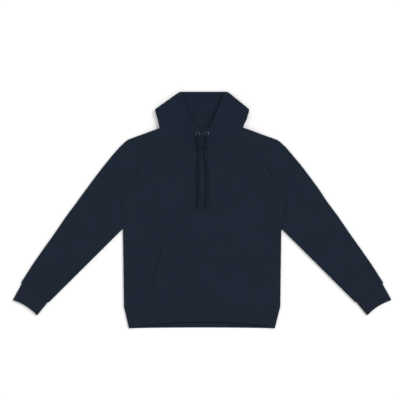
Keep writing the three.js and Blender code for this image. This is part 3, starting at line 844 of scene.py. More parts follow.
@dataclass(frozen=True)
class Pattern:
    """The garment's driving sizes.

    Attributes:
        gap: gap at a seam, below zero where the edges sink into each other.
        off: gap between cloths that lie on each other.
        fleece: thickness of the fleece.
        rib: thickness of the rib.
        hood_cloth: thickness of the double hood.
        body_air: space between the body's layers.
        hood_air: space between the hood's layers.
        hem_seam: y of the waistband seam.
        hem_half: half-width there.
        underarm: the underarm point.
        tip: the shoulder tip.
        corner: the neck corner.
        front_neck_low: y of the front neckline's middle.
        front_neck_bend: power that bends it.
        armhole: armhole seam, as (y, x).
        back_neck: back neckline, as (x, y).
    """

    gap: float = -0.1
    off: float = 0.3
    fleece: float = 2.2
    rib: float = 2.0
    hood_cloth: float = 3.0
    body_air: float = 3.4
    hood_air: float = 2.0
    hem_seam: float = -331.0
    hem_half: float = 265.5
    underarm: tuple[float, float] = (269.0, -63.4)
    tip: tuple[float, float] = (240.0, 243.6)
    corner: tuple[float, float] = (142.3, 278.6)
    front_neck_low: float = 214.0
    front_neck_bend: float = 1.5
    armhole: tuple[tuple[float, float], ...] = (
        (-63.4, 267.9), (-60.6, 268.8), (-45, 267.2), (-15, 261), (15, 251), (45, 239.8), (75, 230),
        (100, 224), (125, 220.2), (150, 219), (172, 219.8), (192, 223), (210, 227.5), (227, 233.5),
        (242.6, 239.5),
    )
    back_neck: tuple[tuple[float, float], ...] = (
        (0, 315.5), (30, 315.2), (55, 311), (100, 294.5), (141.9, 277.6),
    )

    def armhole_line(self) -> EdgeLine:
        """Right armhole seam, from the underarm to the shoulder tip."""
        y = np.linspace(self.armhole[0][0], self.armhole[-1][0], 25)
        return EdgeLine(np.stack([curve_value(self.armhole, y), y], axis=1))

    def neck_line(self, layer: Layer) -> EdgeLine:
        """Neck seam on the right half, from the centre to the corner."""
        x = np.linspace(0, self.corner[0], 25)
        return EdgeLine(np.stack([x, self.panel_top(layer, x)], axis=1))

    def waist_line(self) -> EdgeLine:
        """Waistband seam on the right half."""
        return EdgeLine(np.array([(0, self.hem_seam), (self.hem_half, self.hem_seam)]))

    def body_seams(self, layer: Layer) -> tuple[SewnLine, ...]:
        """Seams round a body panel.

        Args:
            layer: upper for the front and lower for the back.

        Returns:
            The armhole, neck and waistband seams.
        """
        lines = self.armhole_line(), self.neck_line(layer), self.waist_line()
        if layer is Layer.UPPER:
            return tuple(SewnLine(line, depth) for line, depth in zip(lines, (0.8, 1.0, 0.45)))
        return tuple(SewnLine(line, *UNDER_SEAM) for line in lines)

    def body_form(self) -> TwoLayers:
        """Front and back, rolled at the side seams and the shoulders."""
        return TwoLayers(self.fleece, self.body_air, (self.side_line(), self.shoulder_line()), self.gap / 2)

    def side_line(self) -> EdgeLine:
        """Middle of the wall along the right side."""
        return EdgeLine(np.array([(self.hem_half, self.hem_seam), self.underarm])).inset(self.fleece / 2)

    def shoulder_line(self) -> EdgeLine:
        """Middle of the wall along the right shoulder, from its tip to the neck."""
        return EdgeLine(np.array([self.tip, self.corner])).inset(self.fleece / 2)

    def panel_top(self, layer: Layer, x: np.ndarray | float) -> np.ndarray:
        """Height in plan of a body panel's top edge.

        Args:
            layer: upper for the front and lower for the back.
            x: distance from the centre.

        Returns:
            y of the neckline, and of the shoulder past the neck corner.
        """
        (tip_x, tip_y), (corner_x, corner_y) = self.shoulder_line().points
        x = np.abs(x)
        if layer is Layer.UPPER:
            neck = mix(self.front_neck_low, corner_y, (x / corner_x) ** self.front_neck_bend)
        else:
            neck = curve_value(self.back_neck, x)
        return np.where(x > corner_x, mix(corner_y, tip_y, (x - corner_x) / (tip_x - corner_x)), neck)


PATTERN = Pattern()
LAY = Lay()


def rows_to(start: float, end: float, step: float) -> np.ndarray:
    """Even places from start to end, about a step apart."""
    return np.linspace(start, end, max(2, round(abs(end - start) / step) + 1))


@dataclass(frozen=True)
class Cut:
    """Flat size of a piece of cloth, measured on its CAD solid.

    The area is the solid's volume over its wall. The folded crown is one closed solid, so its area and
    length are twice its plan's.

    Attributes:
        width: greatest width, in millimetres.
        length: greatest length, in millimetres.
        area: area, in square metres.
    """

    width: float
    length: float
    area: float


@dataclass
class BodyPanel:
    """Front or back, from the hem seam to the neckline and the shoulders.

    Attributes:
        layer: upper for the front and lower for the back.
        cut: its cut.
        cell: size of the mesh's cells.
        roll: depth of the finer cells at the edges.
        creases: its creases.
    """

    layer: Layer
    cut: Cut
    cell: float = 3.2
    roll: float = 6.0
    creases: tuple[Crease, ...] = ()

    def edge_insets(self, form: TwoLayers) -> np.ndarray:
        """Insets of the finer cells, from the flat cloth out to the edge."""
        return np.concatenate([[self.roll, (self.roll + form.radius) / 2], form.insets(ROLL_STEPS)[::-1]])

    def armhole_rows(self, form: TwoLayers) -> np.ndarray:
        """Heights of the rows on the armhole, from the underarm to the shoulder tip.

        Args:
            form: its two layers.

        Returns:
            The heights.
        """
        insets = self.edge_insets(form)
        low, high = PATTERN.underarm[1], PATTERN.shoulder_line().points[0][1]
        inner = rows_to(low + self.roll, high - self.roll, self.cell)[1:-1]
        return np.concatenate([low + insets[::-1], inner, high - insets])

    def plan(self, form: TwoLayers) -> np.ndarray:
        """Plan of the panel's points, rows from the hem up.

        Args:
            form: its two layers.

        Returns:
            Rows by columns by (x, y).
        """
        (tip_x, tip_y), _ = PATTERN.shoulder_line().points
        low = PATTERN.underarm[1]
        insets = self.edge_insets(form)
        flat = np.arange(0, tip_x - self.roll, self.cell)
        flat = flat * (tip_x - self.roll - self.cell * 0.6) / flat[-1]

        def spread(half: float) -> np.ndarray:
            """Places across one row, from the centre out."""
            return np.concatenate([flat * (half - self.roll) / (tip_x - self.roll), half - insets])

        tops = PATTERN.panel_top(self.layer, spread(tip_x))
        rows = []
        side = PATTERN.side_line().points
        for y in rows_to(PATTERN.hem_seam + PATTERN.gap / 2, low, self.cell)[:-1]:
            half = mix(side[0][0], side[1][0], (y - PATTERN.hem_seam) / (low - PATTERN.hem_seam))
            right = np.stack([spread(half), np.full(len(tops), y)], axis=1)
            rows.append(right)
        for y in self.armhole_rows(form):
            half = float(curve_value(PATTERN.armhole, y))
            share = (y - low) / (tip_y - low)
            rows.append(np.stack([spread(half), mix(low, tops, share)], axis=1))
        right = np.array(rows)
        left = right[:, :0:-1] * (-1, 1)
        return np.concatenate([left, right], axis=1)

    def build(self, name: str, material: bpy.types.Material, stands_for: str) -> bpy.types.Object:
        """Makes the panel.

        Args:
            name: the piece's name.
            material: its finish.
            stands_for: its node.

        Returns:
            The piece.
        """
        form = PATTERN.body_form()
        creases = (*self.creases, *PATTERN.body_seams(self.layer))
        points = LAY.cloth(form, self.plan(form), self.layer, creases)
        piece = cloth_piece(name, points, PATTERN.fleece, tuple(Side))
        dress(piece, "fleece", material, stands_for)
        return piece


# Lower part of both sleeves' upper outline, and the whole of it by side, from the shoulder tip down
SLEEVE_FALL = (
    (424.3, 28.7), (462.2, -22.3), (504, -83.5), (540.5, -134.5), (576, -185.5), (602, -226.3),
    (615.6, -247.7),
)
SLEEVE_EDGE = {
    Hand.LEFT: (
        (240, 243.6), (252, 238.8), (262.9, 230.4), (282.4, 211.3), (309, 180.9), (333.4, 150.3),
        (364.6, 110.3), (394.6, 69.5), *SLEEVE_FALL,
    ),
    Hand.RIGHT: (
        (240, 243.6), (256, 237.6), (265, 231.2), (284.4, 213.3), (310, 183), (335.6, 152.4), (367.4, 110.6),
        (397.4, 69.8), *SLEEVE_FALL,
    ),
}


@dataclass
class Sleeve:
    """Set-in sleeve: one tube from the armhole to the cuff seam.

    Attributes:
        edge: upper outline from the shoulder tip to the cuff seam.
        head: start of the lower outline, just off the underarm.
        foot: its end at the cuff seam.
        cut: its cut, all round.
        rows: rows of cells along it.
        over: cells across its upper layer.
        under: cells across its lower layer.
        stand_off: gap to the armhole, and that at the underarm.
        stand_off_reach: height over which the gap changes.
        curve_fade: power with which the armhole's curve fades down the sleeve.
        gather: height of the small gathers where the cuff draws it in.
    """

    edge: tuple[tuple[float, float], ...]
    head: tuple[float, float] = (269.3, -64.1)
    foot: tuple[float, float] = (520.7, -314.0)
    cut: Cut = Cut(363, 617, 0.1676)
    rows: int = 160
    over: int = 62
    under: int = 40
    stand_off: tuple[float, float] = (-0.1, 0.6)
    stand_off_reach: float = 3.0
    curve_fade: float = 4.0
    gather: float = 0.75

    def form(self) -> TwoLayers:
        """Its two layers.

        Returns:
            The two layers.
        """
        upper = EdgeLine(np.array(self.edge[::-1])).inset(PATTERN.fleece / 2)
        lower = EdgeLine(np.array([self.head, self.foot])).inset(PATTERN.fleece / 2)
        return TwoLayers(PATTERN.fleece, PATTERN.body_air, (upper, lower))

    def first_row(self, form: TwoLayers, count: int) -> np.ndarray:
        """Plan of the row that follows the armhole, from the tip down.

        Args:
            form: its two layers.
            count: cells between the rolled edges.

        Returns:
            x and y of its points.
        """
        insets = form.insets(ROLL_STEPS)
        low, high = PATTERN.underarm[1], PATTERN.shoulder_line().points[0][1]
        inner = np.linspace(high - form.radius, low + form.radius, count + 1)[1:-1]
        y = np.concatenate([high - insets, inner, low + insets[::-1]])
        x = curve_value(PATTERN.armhole, y)
        near = np.clip((y - low) / self.stand_off_reach, 0, 1)
        return np.stack([x + mix(self.stand_off[1], self.stand_off[0], near), y], axis=1)

    def half_row(self, form: TwoLayers, share: float, count: int) -> np.ndarray:
        """Plan of one row of a layer, from the upper edge to the lower one.

        Args:
            form: its two layers.
            share: the share along the sleeve.
            count: cells between the rolled edges.

        Returns:
            x and y of its points.
        """
        first = self.first_row(form, count)
        if share == 0:
            return first
        upper, lower = form.lines
        insets = form.insets(ROLL_STEPS)[:, None]
        top, top_out = upper.walk(1 - share)
        foot, foot_out = lower.walk(share)
        start, end = first[ROLL_STEPS], first[-ROLL_STEPS - 1]
        inner = first[ROLL_STEPS + 1:-ROLL_STEPS - 1]
        across = ((start[1] - inner[:, 1]) / (start[1] - end[1]))[:, None]
        straight = mix(top - top_out * form.radius, foot - foot_out * form.radius, across)
        bend = inner[:, 0] - mix(start[0], end[0], across[:, 0])
        straight[:, 0] += bend * (1 - share) ** self.curve_fade
        return np.concatenate([top - top_out * insets, straight, (foot - foot_out * insets)[::-1]])

    def gathers(self, share: np.ndarray, across: np.ndarray) -> np.ndarray:
        """Height of the gathers above the cuff, by the share along and across the sleeve.

        Args:
            share: the share along.
            across: the share across.

        Returns:
            The heights.
        """
        reach = smoothstep((share - 0.9) / 0.1)
        wave = np.sin(across * 58 + 1.7 * np.sin(across * 13)) * (0.7 + 0.3 * np.sin(across * 23))
        return self.gather * reach * wave

    def build(self, hand: Hand, material: bpy.types.Material) -> bpy.types.Object:
        """Makes the sleeve of one side.

        Args:
            hand: the side.
            material: its finish.

        Returns:
            The piece.
        """
        form = self.form()
        shares = np.linspace(0, 1, self.rows + 1)
        over = np.array([self.half_row(form, share, self.over) for share in shares])
        under = np.array([self.half_row(form, share, self.under) for share in shares])[:, 1:-1][:, ::-1]
        cuff_seam = EdgeLine(np.array(Cuff.seam))
        seams = SewnLine(PATTERN.armhole_line()), SewnLine(cuff_seam, 1.0, 2.8)
        under_seams = SewnLine(PATTERN.armhole_line(), *UNDER_SEAM), SewnLine(cuff_seam, *UNDER_SEAM)
        upper = LAY.cloth(form, over, Layer.UPPER, (*LAY.upper, *seams))
        lower = LAY.cloth(form, under, Layer.LOWER, (*LAY.under, *under_seams))
        for points, sign in ((upper, 1.0), (lower, 0.0)):
            across = np.linspace(0, 1, points.shape[1])[None, :]
            fade = smoothstep(form.distance(points[..., 0], points[..., 1]) / 12)
            points[..., 2] += sign * fade * self.gathers(shares[:, None], across)
        points = np.concatenate([upper, lower], axis=1) * (hand.value, 1, 1)
        ends = Side.FIRST_ROW, Side.LAST_ROW
        piece = cloth_piece(f"sleeve_{hand.word}_cloth", points, PATTERN.fleece, ends, ring=True)
        dress(piece, "fleece", material, f"sleeve_{hand.word}")
        return piece


@dataclass
class RibRing:
    """Ring of rib knit across a flattened tube.

    Attributes:
        pitch: width of a rib.
        depth: height of a rib over the groove.
        samples: points to a rib.
        rows: rows of cells along the ribs.
        overlap: how far it goes past its seam, into the seam allowance.
        turn_steps: lines of points in the turn at each edge.
    """

    pitch: float = 4.2
    depth: float = 0.9
    samples: int = 6
    rows: int = 14
    overlap: float = 0.4
    turn_steps: int = 5

    def ribs(self, across: np.ndarray, count: int) -> np.ndarray:
        """Height of the ribs by the share across, level at the grooves."""
        wave = 0.5 - 0.5 * np.cos(2 * math.pi * across * count)
        return self.depth * (wave**0.6 - 0.35)

    def points(
        self, form: TwoLayers, place: Callable[[float, np.ndarray, np.ndarray, Layer], np.ndarray],
        count: int, seam: EdgeLine,
    ) -> np.ndarray:
        """Lays the ring.

        Args:
            form: its two layers.
            place: plan of a row from the share along, the share across, the inset and the layer.
            count: ribs across each layer.
            seam: its seam.

        Returns:
            Rows of points, round the ring.
        """
        steps = self.turn_steps
        insets = form.insets(steps)
        across = np.linspace(0, 1, count * self.samples + 1)
        share = np.concatenate([np.zeros(steps), across, np.ones(steps)])
        inset = np.concatenate([insets[:steps], np.full(len(across), form.radius), insets[:steps][::-1]])
        rows = []
        for along in np.linspace(0, 1, self.rows + 1):
            halves = []
            for layer in (Layer.UPPER, Layer.LOWER):
                sewn = SewnLine(seam, 0.45, 2.8) if layer is Layer.UPPER else SewnLine(seam, *UNDER_SEAM)
                laid = LAY.cloth(form, place(along, share, inset, layer), layer, (sewn,))
                flat = smoothstep((inset - 0.4 * form.radius) / (0.6 * form.radius))
                rib = self.ribs(share, count) * flat
                laid[:, 2] += rib if layer is Layer.UPPER else np.maximum(-rib, 0) * 0.6
                halves.append(laid)
            rows.append(np.concatenate([halves[0], halves[1][1:-1][::-1]]))
        return np.array(rows)


@dataclass
class Waistband(RibRing):
    """Rib waistband, its front edge arched up over the back one.

    Attributes:
        cut: its cut, all round.
        seam_half: half-width at its seam.
        end_half: half-width at its free edge.
        end: y of its free edge at the sides.
        arch: rise of the free edge's middle, in front and behind.
        arch_bend: power that flattens the arch.
        flare: how far the front's free edge stands up.
        lean: how far its right half is drawn in at the free edge.
    """

    cut: Cut = Cut(1058, 70, 0.0675)
    seam_half: float = 264.9
    end_half: float = 248.5
    end: float = -402.5
    arch: tuple[float, float] = (24.3, 2.8)
    arch_bend: float = 0.75
    flare: float = 2.0
    lean: float = -1.6

    def build(self, material: bpy.types.Material) -> bpy.types.Object:
        """Makes the waistband.

        Args:
            material: its finish.

        Returns:
            The piece.
        """
        outline = EdgeLine(np.array([
            (self.end_half, self.end), (self.seam_half, PATTERN.hem_seam + self.overlap),
        ])).inset(PATTERN.rib / 2)
        form = TwoLayers(PATTERN.rib, PATTERN.body_air, (outline,))
        low, high = outline.points

        def place(along: float, share: np.ndarray, inset: np.ndarray, layer: Layer) -> np.ndarray:
            """Plan of one row of the ring.

            Args:
                along: the share along.
                share: the share.
                inset: the inset from the edges.
                layer: the layer.

            Returns:
                x and y of its points.
            """
            half = mix(high[0], low[0], along)
            x = mix(-(half - inset), half - inset, share)
            arch = self.arch[0] if layer is Layer.UPPER else self.arch[1]
            hump = np.maximum(0, 1 - (x / half) ** 2) ** self.arch_bend
            return np.stack([x, mix(high[1], low[1], along) + along * arch * hump], axis=1)

        count = round(2 * self.seam_half / self.pitch)
        ends = Side.FIRST_ROW, Side.LAST_ROW
        points = self.points(form, place, count, PATTERN.waist_line())
        along = np.linspace(0, 1, len(points))[:, None]
        points[..., 0] += self.lean * along * (points[..., 0] > 0)
        front = points[..., 2] > form.middle
        points[..., 2] += self.flare * along**5 * smoothstep((high[0] - np.abs(points[..., 0])) / 60) * front
        piece = cloth_piece("waistband_rib", points, PATTERN.rib, ends, ring=True)
        dress(piece, "rib", material, "waistband")
        return piece


@dataclass
class Cuff(RibRing):
    """Rib cuff: a short tube a little narrower than the sleeve's end.

    Attributes:
        cut: its cut, all round.
        samples: points to a rib.
        seam: upper and lower end of its seam, on the right side.
        end: upper and lower end of its free edge.
        bow: how far the free edge bows out in the middle.
    """

    cut: Cut = Cut(216, 63, 0.0129)
    samples: int = 8
    seam: tuple[tuple[float, float], tuple[float, float]] = ((612.5, -250.2), (523.3, -312.5))
    end: tuple[tuple[float, float], tuple[float, float]] = ((643.1, -305.5), (560.2, -357.9))
    bow: float = 6.2

    def build(self, hand: Hand, material: bpy.types.Material) -> bpy.types.Object:
        """Makes the cuff of one side.

        Args:
            hand: the side.
            material: its finish.

        Returns:
            The piece.
        """
        ends, seams = np.array(self.end), np.array(self.seam)
        back = (seams - ends) / np.linalg.norm(seams - ends, axis=1)[:, None] * self.overlap
        upper = EdgeLine(np.array([ends[0], (seams + back)[0]])).inset(PATTERN.rib / 2)
        lower = EdgeLine(np.array([(seams + back)[1], ends[1]])).inset(PATTERN.rib / 2)
        form = TwoLayers(PATTERN.rib, PATTERN.body_air, (upper, lower))

        def place(along: float, share: np.ndarray, inset: np.ndarray, layer: Layer) -> np.ndarray:
            """Plan of one row of the ring.

            Args:
                along: the share along.
                share: the share.
                inset: the inset from the edges.
                layer: the layer; not used.

            Returns:
                x and y of its points.
            """
            top = mix(upper.points[1], upper.points[0], along)
            foot = mix(lower.points[0], lower.points[1], along)
            span = np.linalg.norm(foot - top)
            across = mix(inset / span, 1 - inset / span, share)[:, None]
            back = np.array([foot[1] - top[1], top[0] - foot[0]]) / span
            hump = along * self.bow * (1 - (2 * across - 1) ** 2)
            return mix(top, foot, across) + back * hump

        width = math.dist(*self.seam)
        seam = EdgeLine(np.array(self.seam))
        points = self.points(form, place, round(width / self.pitch), seam) * (hand.value, 1, 1)
        ends = Side.FIRST_ROW, Side.LAST_ROW
        piece = cloth_piece(f"cuff_{hand.word}_rib", points, PATTERN.rib, ends, ring=True)
        dress(piece, "rib", material, f"cuff_{hand.word}")
        return piece


@dataclass
class HoodHalf:
    """Half of the hood: its back layer, the turn at the outline and the wing to the opening.

    Attributes:
        hand: its side.
        side: outline from the neck corner up, as (share, x, y).
        opening: the wing's opening edge from the neck seam up, as (share, x, y), on its own side.
        cut: its cut.
        back_top: y of the back layer's top at the centre.
        rows: rows of cells up the hood.
        back_cells: cells across the back layer.
        wing_cells: cells across the wing.
        neck_rise: gap of its neck edge over the body's.
        neck_fade: length from the opening over which the wing's foot joins the neckline.
        neck_turn: the neck corner, at the middle of the wall.
        back_in: how far the back layer starts inside that corner.
        wing_in: how far the wing starts inside it.
        tunnel: width of the drawcord's tunnel.
        rim: rise of the tunnel along the opening, over the cloth beside it.
        curl: how far the opening edge curls up.
        curl_reach: width over which it curls.
        curl_from: y from which and to which it curls.
        eyelet: the eyelet's middle, on its own side.
        dip: radius of the pressed cloth round the eyelet.
    """

    hand: Hand
    side: tuple[tuple[float, float, float], ...]
    opening: tuple[tuple[float, float, float], ...]
    cut: Cut = Cut(270, 186, 0.0295)
    back_top: float = 387.6
    rows: int = 96
    back_cells: int = 46
    wing_cells: int = 60
    neck_rise: float = -0.1
    neck_fade: float = 40.0
    neck_turn: tuple[float, float] = (143.9, 279.7)
    back_in: tuple[float, float] = (1.8, 1.7)
    wing_in: tuple[float, float] = (0.9, 2.35)
    tunnel: float = 25.0
    rim: float = 0.7
    curl: float = 4.0
    curl_reach: float = 34.0
    curl_from: tuple[float, float] = (268.0, 397.0)
    eyelet: tuple[float, float] = (15.5, 257.2)
    dip: float = 6.5

    def form(self) -> TwoLayers:
        """Its two layers.

        Returns:
            The two layers.
        """
        points = np.array(self.side)[:, 1:]
        middle = EdgeLine(points).inset(PATTERN.hood_cloth / 2).points.copy()
        middle[0] = self.neck_turn
        return TwoLayers(PATTERN.hood_cloth, PATTERN.hood_air, (EdgeLine(middle),))

    def opening_at(self, share: float) -> np.ndarray:
        """Place on the opening edge at a share of the way up."""
        table = np.array(self.opening)
        return np.array([curve_value(table[:, (0, k)], share) for k in (1, 2)])

    def plan(self, form: TwoLayers) -> tuple[np.ndarray, np.ndarray]:
        """Plan of the back layer and of the wing, rows from the neck up.

        Args:
            form: its two layers.

        Returns:
            The back layer from the centre out and the wing from the edge in.
        """
        edge = form.lines[0].points
        shares = np.array(self.side)[:, 0]
        insets = form.insets(ROLL_STEPS)
        turn = np.array(self.neck_turn)
        end = self.opening_at(0)
        back_end, wing_end = turn - self.back_in, turn - self.wing_in
        back_x = np.linspace(PATTERN.gap / 2, back_end[0], self.back_cells + 1)
        wing_x = np.linspace(wing_end[0], end[0], self.wing_cells + 1)
        back_first = np.stack([back_x, PATTERN.panel_top(Layer.LOWER, back_x) + self.neck_rise], axis=1)
        wing_first = np.stack([wing_x, PATTERN.panel_top(Layer.UPPER, wing_x) + self.neck_rise], axis=1)
        off_end = smoothstep((wing_x - end[0]) / self.neck_fade)
        wing_first[:, 1] = np.maximum(wing_first[:, 1], mix(end[1], wing_first[:, 1], off_end))
        back_first[-1] = back_end
        wing_first[0] = wing_end
        back_rows, wing_rows = [], []
        for share in np.linspace(0, 1, self.rows + 1):
            fade = (1 - share) ** 2
            at = np.array([np.interp(share, shares, edge[:, k]) for k in (0, 1)])
            k = int(np.clip(np.searchsorted(shares, share) - 1, 0, len(edge) - 2))
            corner = smoothstep(share / 0.05)
            out = form.lines[0].outward()[k]
            flat = at - out * form.radius
            back_end = mix(back_first[-1], flat, corner)
            wing_end = mix(wing_first[0], flat, corner)
            start = np.array([PATTERN.gap / 2, mix(back_first[0][1], self.back_top, share)])
            opening = self.opening_at(share)
            across = ((back_x - back_x[0]) / (back_x[-1] - back_x[0]))[:, None]
            bend = back_first[:, 1] - mix(back_first[0][1], back_first[-1][1], across[:, 0])
            back = mix(start, back_end, across)
            sag = (back_end[1] - start[1]) * share**6 * (across - across**2)[:, 0]
            back[:, 1] += bend * fade - sag
            across = ((wing_x - wing_x[0]) / (wing_x[-1] - wing_x[0]))[:, None]
            bend = wing_first[:, 1] - mix(wing_first[0][1], wing_first[-1][1], across[:, 0])
            wing = mix(wing_end, opening, across)
            wing[:, 1] += bend * fade
            steps = (insets[::-1] / form.radius)[1:, None]
            rim = mix(turn, at, corner)
            back_rows.append(np.concatenate([back, mix(rim, back_end, steps)]))
            wing_rows.append(np.concatenate([mix(rim, wing_end, steps[::-1][1:]), wing]))
        return np.array(back_rows), np.array(wing_rows)

    def rise(self, x: np.ndarray, y: np.ndarray) -> np.ndarray:
        """Rise of the wing where it lies on the other one.

        Args:
            x: the points' x.
            y: the points' y.

        Returns:
            The heights.
        """
        if self.hand is Hand.RIGHT:
            return np.zeros_like(x)
        over_neck = y - PATTERN.panel_top(Layer.UPPER, x)
        sewn = (1 - smoothstep((over_neck - 4) / 18)) * smoothstep((-x - 6) / 9)
        return LAY.lapped(x, y) * (1 - sewn)

    def opening_line(self) -> EdgeLine:
        """Opening edge on its own side."""
        return EdgeLine(np.array([self.opening_at(share) for share in np.linspace(0, 1, 21)]))

    def tunnel_relief(self, plan: np.ndarray) -> np.ndarray:
        """Height of the padded tunnel along the opening, with a dip at the eyelet and a sewn groove.

        Args:
            plan: x and y of the wing's points, on its own side.

        Returns:
            The heights.
        """
        x, y = plan[..., 0], plan[..., 1]
        away = self.opening_line().nearest(x, y)
        inside = np.clip(away / self.tunnel, 0, 1)
        pad = self.rim * smoothstep((self.tunnel - away) / 3) * smoothstep((away + 0.6) / 2)
        pad *= 1 + 0.5 * np.sin(math.pi * inside)
        pad *= smoothstep((np.hypot(x - self.eyelet[0], y - self.eyelet[1]) - self.dip) / 6)
        curl = self.curl * smoothstep(1 - away / self.curl_reach) ** 2
        curl *= smoothstep((y - self.curl_from[0]) / 25) * smoothstep((self.curl_from[1] - y) / 22)
        return pad + curl - 0.5 * np.exp(-(((away - self.tunnel) / 1.4) ** 2))

    def build(self, material: bpy.types.Material) -> bpy.types.Object:
        """Makes the half.

        Args:
            material: its finish.

        Returns:
            The piece.
        """
        form = self.form()
        back_plan, wing_plan = self.plan(form)
        flip = (self.hand.value, 1)
        back = LAY.cloth(form, back_plan * flip, Layer.LOWER)
        fade = smoothstep(form.distance(back[..., 0], back[..., 1]) / LAY.edge_fade)
        for crease in LAY.inner:
            back[..., 2] += crease.height(back[..., 0], back[..., 1]) * fade
        seam = SewnLine(PATTERN.neck_line(Layer.UPPER), 0.8, 3.0)
        wing = LAY.cloth(form, wing_plan * flip, Layer.UPPER, (*LAY.hood, seam), self.rise)
        wing[..., 2] += self.tunnel_relief(wing_plan)
        points = np.concatenate([back, wing], axis=1)
        piece = cloth_piece(f"hood_{self.hand.word}_cloth", points, PATTERN.hood_cloth, tuple(Side))
        dress(piece, "fleece", material, f"hood_{self.hand.word}")
        return piece


@dataclass
class CrownFold:
    """Crown of the hood, folded over at the top and tucked flat behind the neck.

    Attributes:
        top_half: half-width of the fold at the top, left and right.
        lower: lower outline of the tucked cloth, right half, as (x, y) from the side to the centre.
        cut: its cut, laid out of its fold.
        top: y of the fold's outside.
        fold: radius of the fold at the top, at the middle of the wall.
        hem: radius of the fold at the lower outline.
        lip: y of the upper layer's free edge at the centre.
        lip_rise: how far that edge stands up.
        columns: columns of cells across.
        rows: rows of cells along the tucked cloth.
    """

    top_half: tuple[float, float] = (72.6, 83.8)
    lower: tuple[tuple[float, float], ...] = (
        (152.5, 338), (147.5, 318), (130.5, 291), (109, 272.6), (60, 261.6), (0, 258.6),
    )
    cut: Cut = Cut(308, 286, 0.069)
    top: float = 401.4
    fold: float = 3.35
    hem: float = 1.6
    lip: float = 387.4
    lip_rise: float = 2.8
    columns: int = 96
    rows: int = 60

    def build(self, material: bpy.types.Material) -> bpy.types.Object:
        """Makes the folded crown.

        Args:
            material: its finish.

        Returns:
            The piece.
        """
        wall = PATTERN.hood_cloth
        low = wall / 2
        turn_y = self.top - low - self.fold
        right = EdgeLine(np.array(self.lower))
        across = np.linspace(-1, 1, self.columns + 1)
        foot = np.array([right.walk(1 - abs(u))[0] * (math.copysign(1, u), 1) for u in across])
        half = np.where(across < 0, self.top_half[0], self.top_half[1])
        head = np.stack([across * half, np.full(len(across), turn_y)], axis=1)
        ahead = (foot - head) / np.linalg.norm(foot - head, axis=1)[:, None]
        rows = []
        edge = np.minimum(mix(self.lip, turn_y, across**2), turn_y - 1.0)
        for share in np.linspace(0, 1, 7)[:-1]:
            height = low + 2 * self.fold + self.lip_rise * (1 - share) ** 2 * (1 - across**2)
            rows.append(np.stack([head[:, 0], mix(edge, turn_y, share), height], axis=1))
        for angle in np.linspace(math.pi / 2, -math.pi / 2, 13):
            y = np.full(len(across), turn_y + self.fold * math.cos(angle))
            height = np.full(len(across), low + self.fold * (1 + math.sin(angle)))
            rows.append(np.stack([head[:, 0], y, height], axis=1))
        height = np.full(len(across), low)
        for share in np.linspace(0, 1, self.rows + 1)[1:]:
            flat = mix(head, foot - ahead * self.hem, share)
            rows.append(np.concatenate([flat, height[:, None]], axis=1))
        for angle in np.linspace(-math.pi / 2, math.pi / 2, 9)[1:]:
            flat = foot - ahead * self.hem * (1 - math.cos(angle))
            rise = low + self.hem * (1 + math.sin(angle))
            rows.append(np.concatenate([flat, np.full((len(across), 1), rise)], axis=1))
        for share in np.linspace(0, 0.9, self.rows // 2)[1:]:
            flat = mix(foot - ahead * self.hem, head, share)
            rows.append(np.concatenate([flat, np.full((len(across), 1), low + 2 * self.hem)], axis=1))
        piece = cloth_piece("hood_crown_cloth", np.array(rows), wall, tuple(Side))
        dress(piece, "fleece", material, "hood_crown")
        return piece


@dataclass
class Pocket:
    """Pouch pocket, laid on the front's points moved out.

    Attributes:
        sides: half-width at each height, as (y, half).
        cut: its cut, without hems.
        cell: size of the mesh's cells.
        slack: how far its middle stands off the front.
        sewn: width over which a sewn edge comes down.
        step: height of a sewn edge over the front's middle.
    """

    sides: tuple[tuple[float, float], ...] = ((-330.4, 173), (-265.4, 173), (-115.8, 133))
    cut: Cut = Cut(346, 214, 0.0683)
    cell: float = 3.4
    slack: float = 0.5
    sewn: float = 6.0
    step: float = 0.9

    def half(self, y: np.ndarray | float) -> np.ndarray:
        """Half-width at a height."""
        places, values = np.array(self.sides).T
        return np.interp(y, places, values)

    def build(self, material: bpy.types.Material) -> bpy.types.Object:
        """Makes the pocket.

        Args:
            material: its finish.

        Returns:
            The piece.
        """
        low, high = self.sides[0][0], self.sides[-1][0]
        y = rows_to(low, high, self.cell)[:, None]
        t = np.linspace(-1, 1, round(2 * self.sides[0][1] / self.cell) + 1)[None, :]
        plan = np.stack(np.broadcast_arrays(t * self.half(y), y), axis=-1)
        seams = SewnLine(PATTERN.waist_line(), 0.45)
        points = LAY.cloth(PATTERN.body_form(), plan, Layer.UPPER, (*LAY.upper, seams))
        share = (y - low) / (high - low)
        puff = (1 - t**2) * np.sin(math.pi * np.clip(share, 0, 1))
        corner = self.sides[1][0]
        free = smoothstep((y - corner) / 14) * smoothstep((high - y) / 14)
        beside = np.maximum(smoothstep((1 - abs(t)) * self.half(y) / self.sewn), free)
        held = np.minimum(beside, smoothstep((y - low) / self.sewn) * smoothstep((high - y) / self.sewn))
        points[..., 2] += mix(self.step, PATTERN.fleece + PATTERN.off, held) + self.slack * puff
        piece = cloth_piece("pocket_cloth", points, PATTERN.fleece, tuple(Side))
        dress(piece, "fleece", material, "pocket")
        return piece


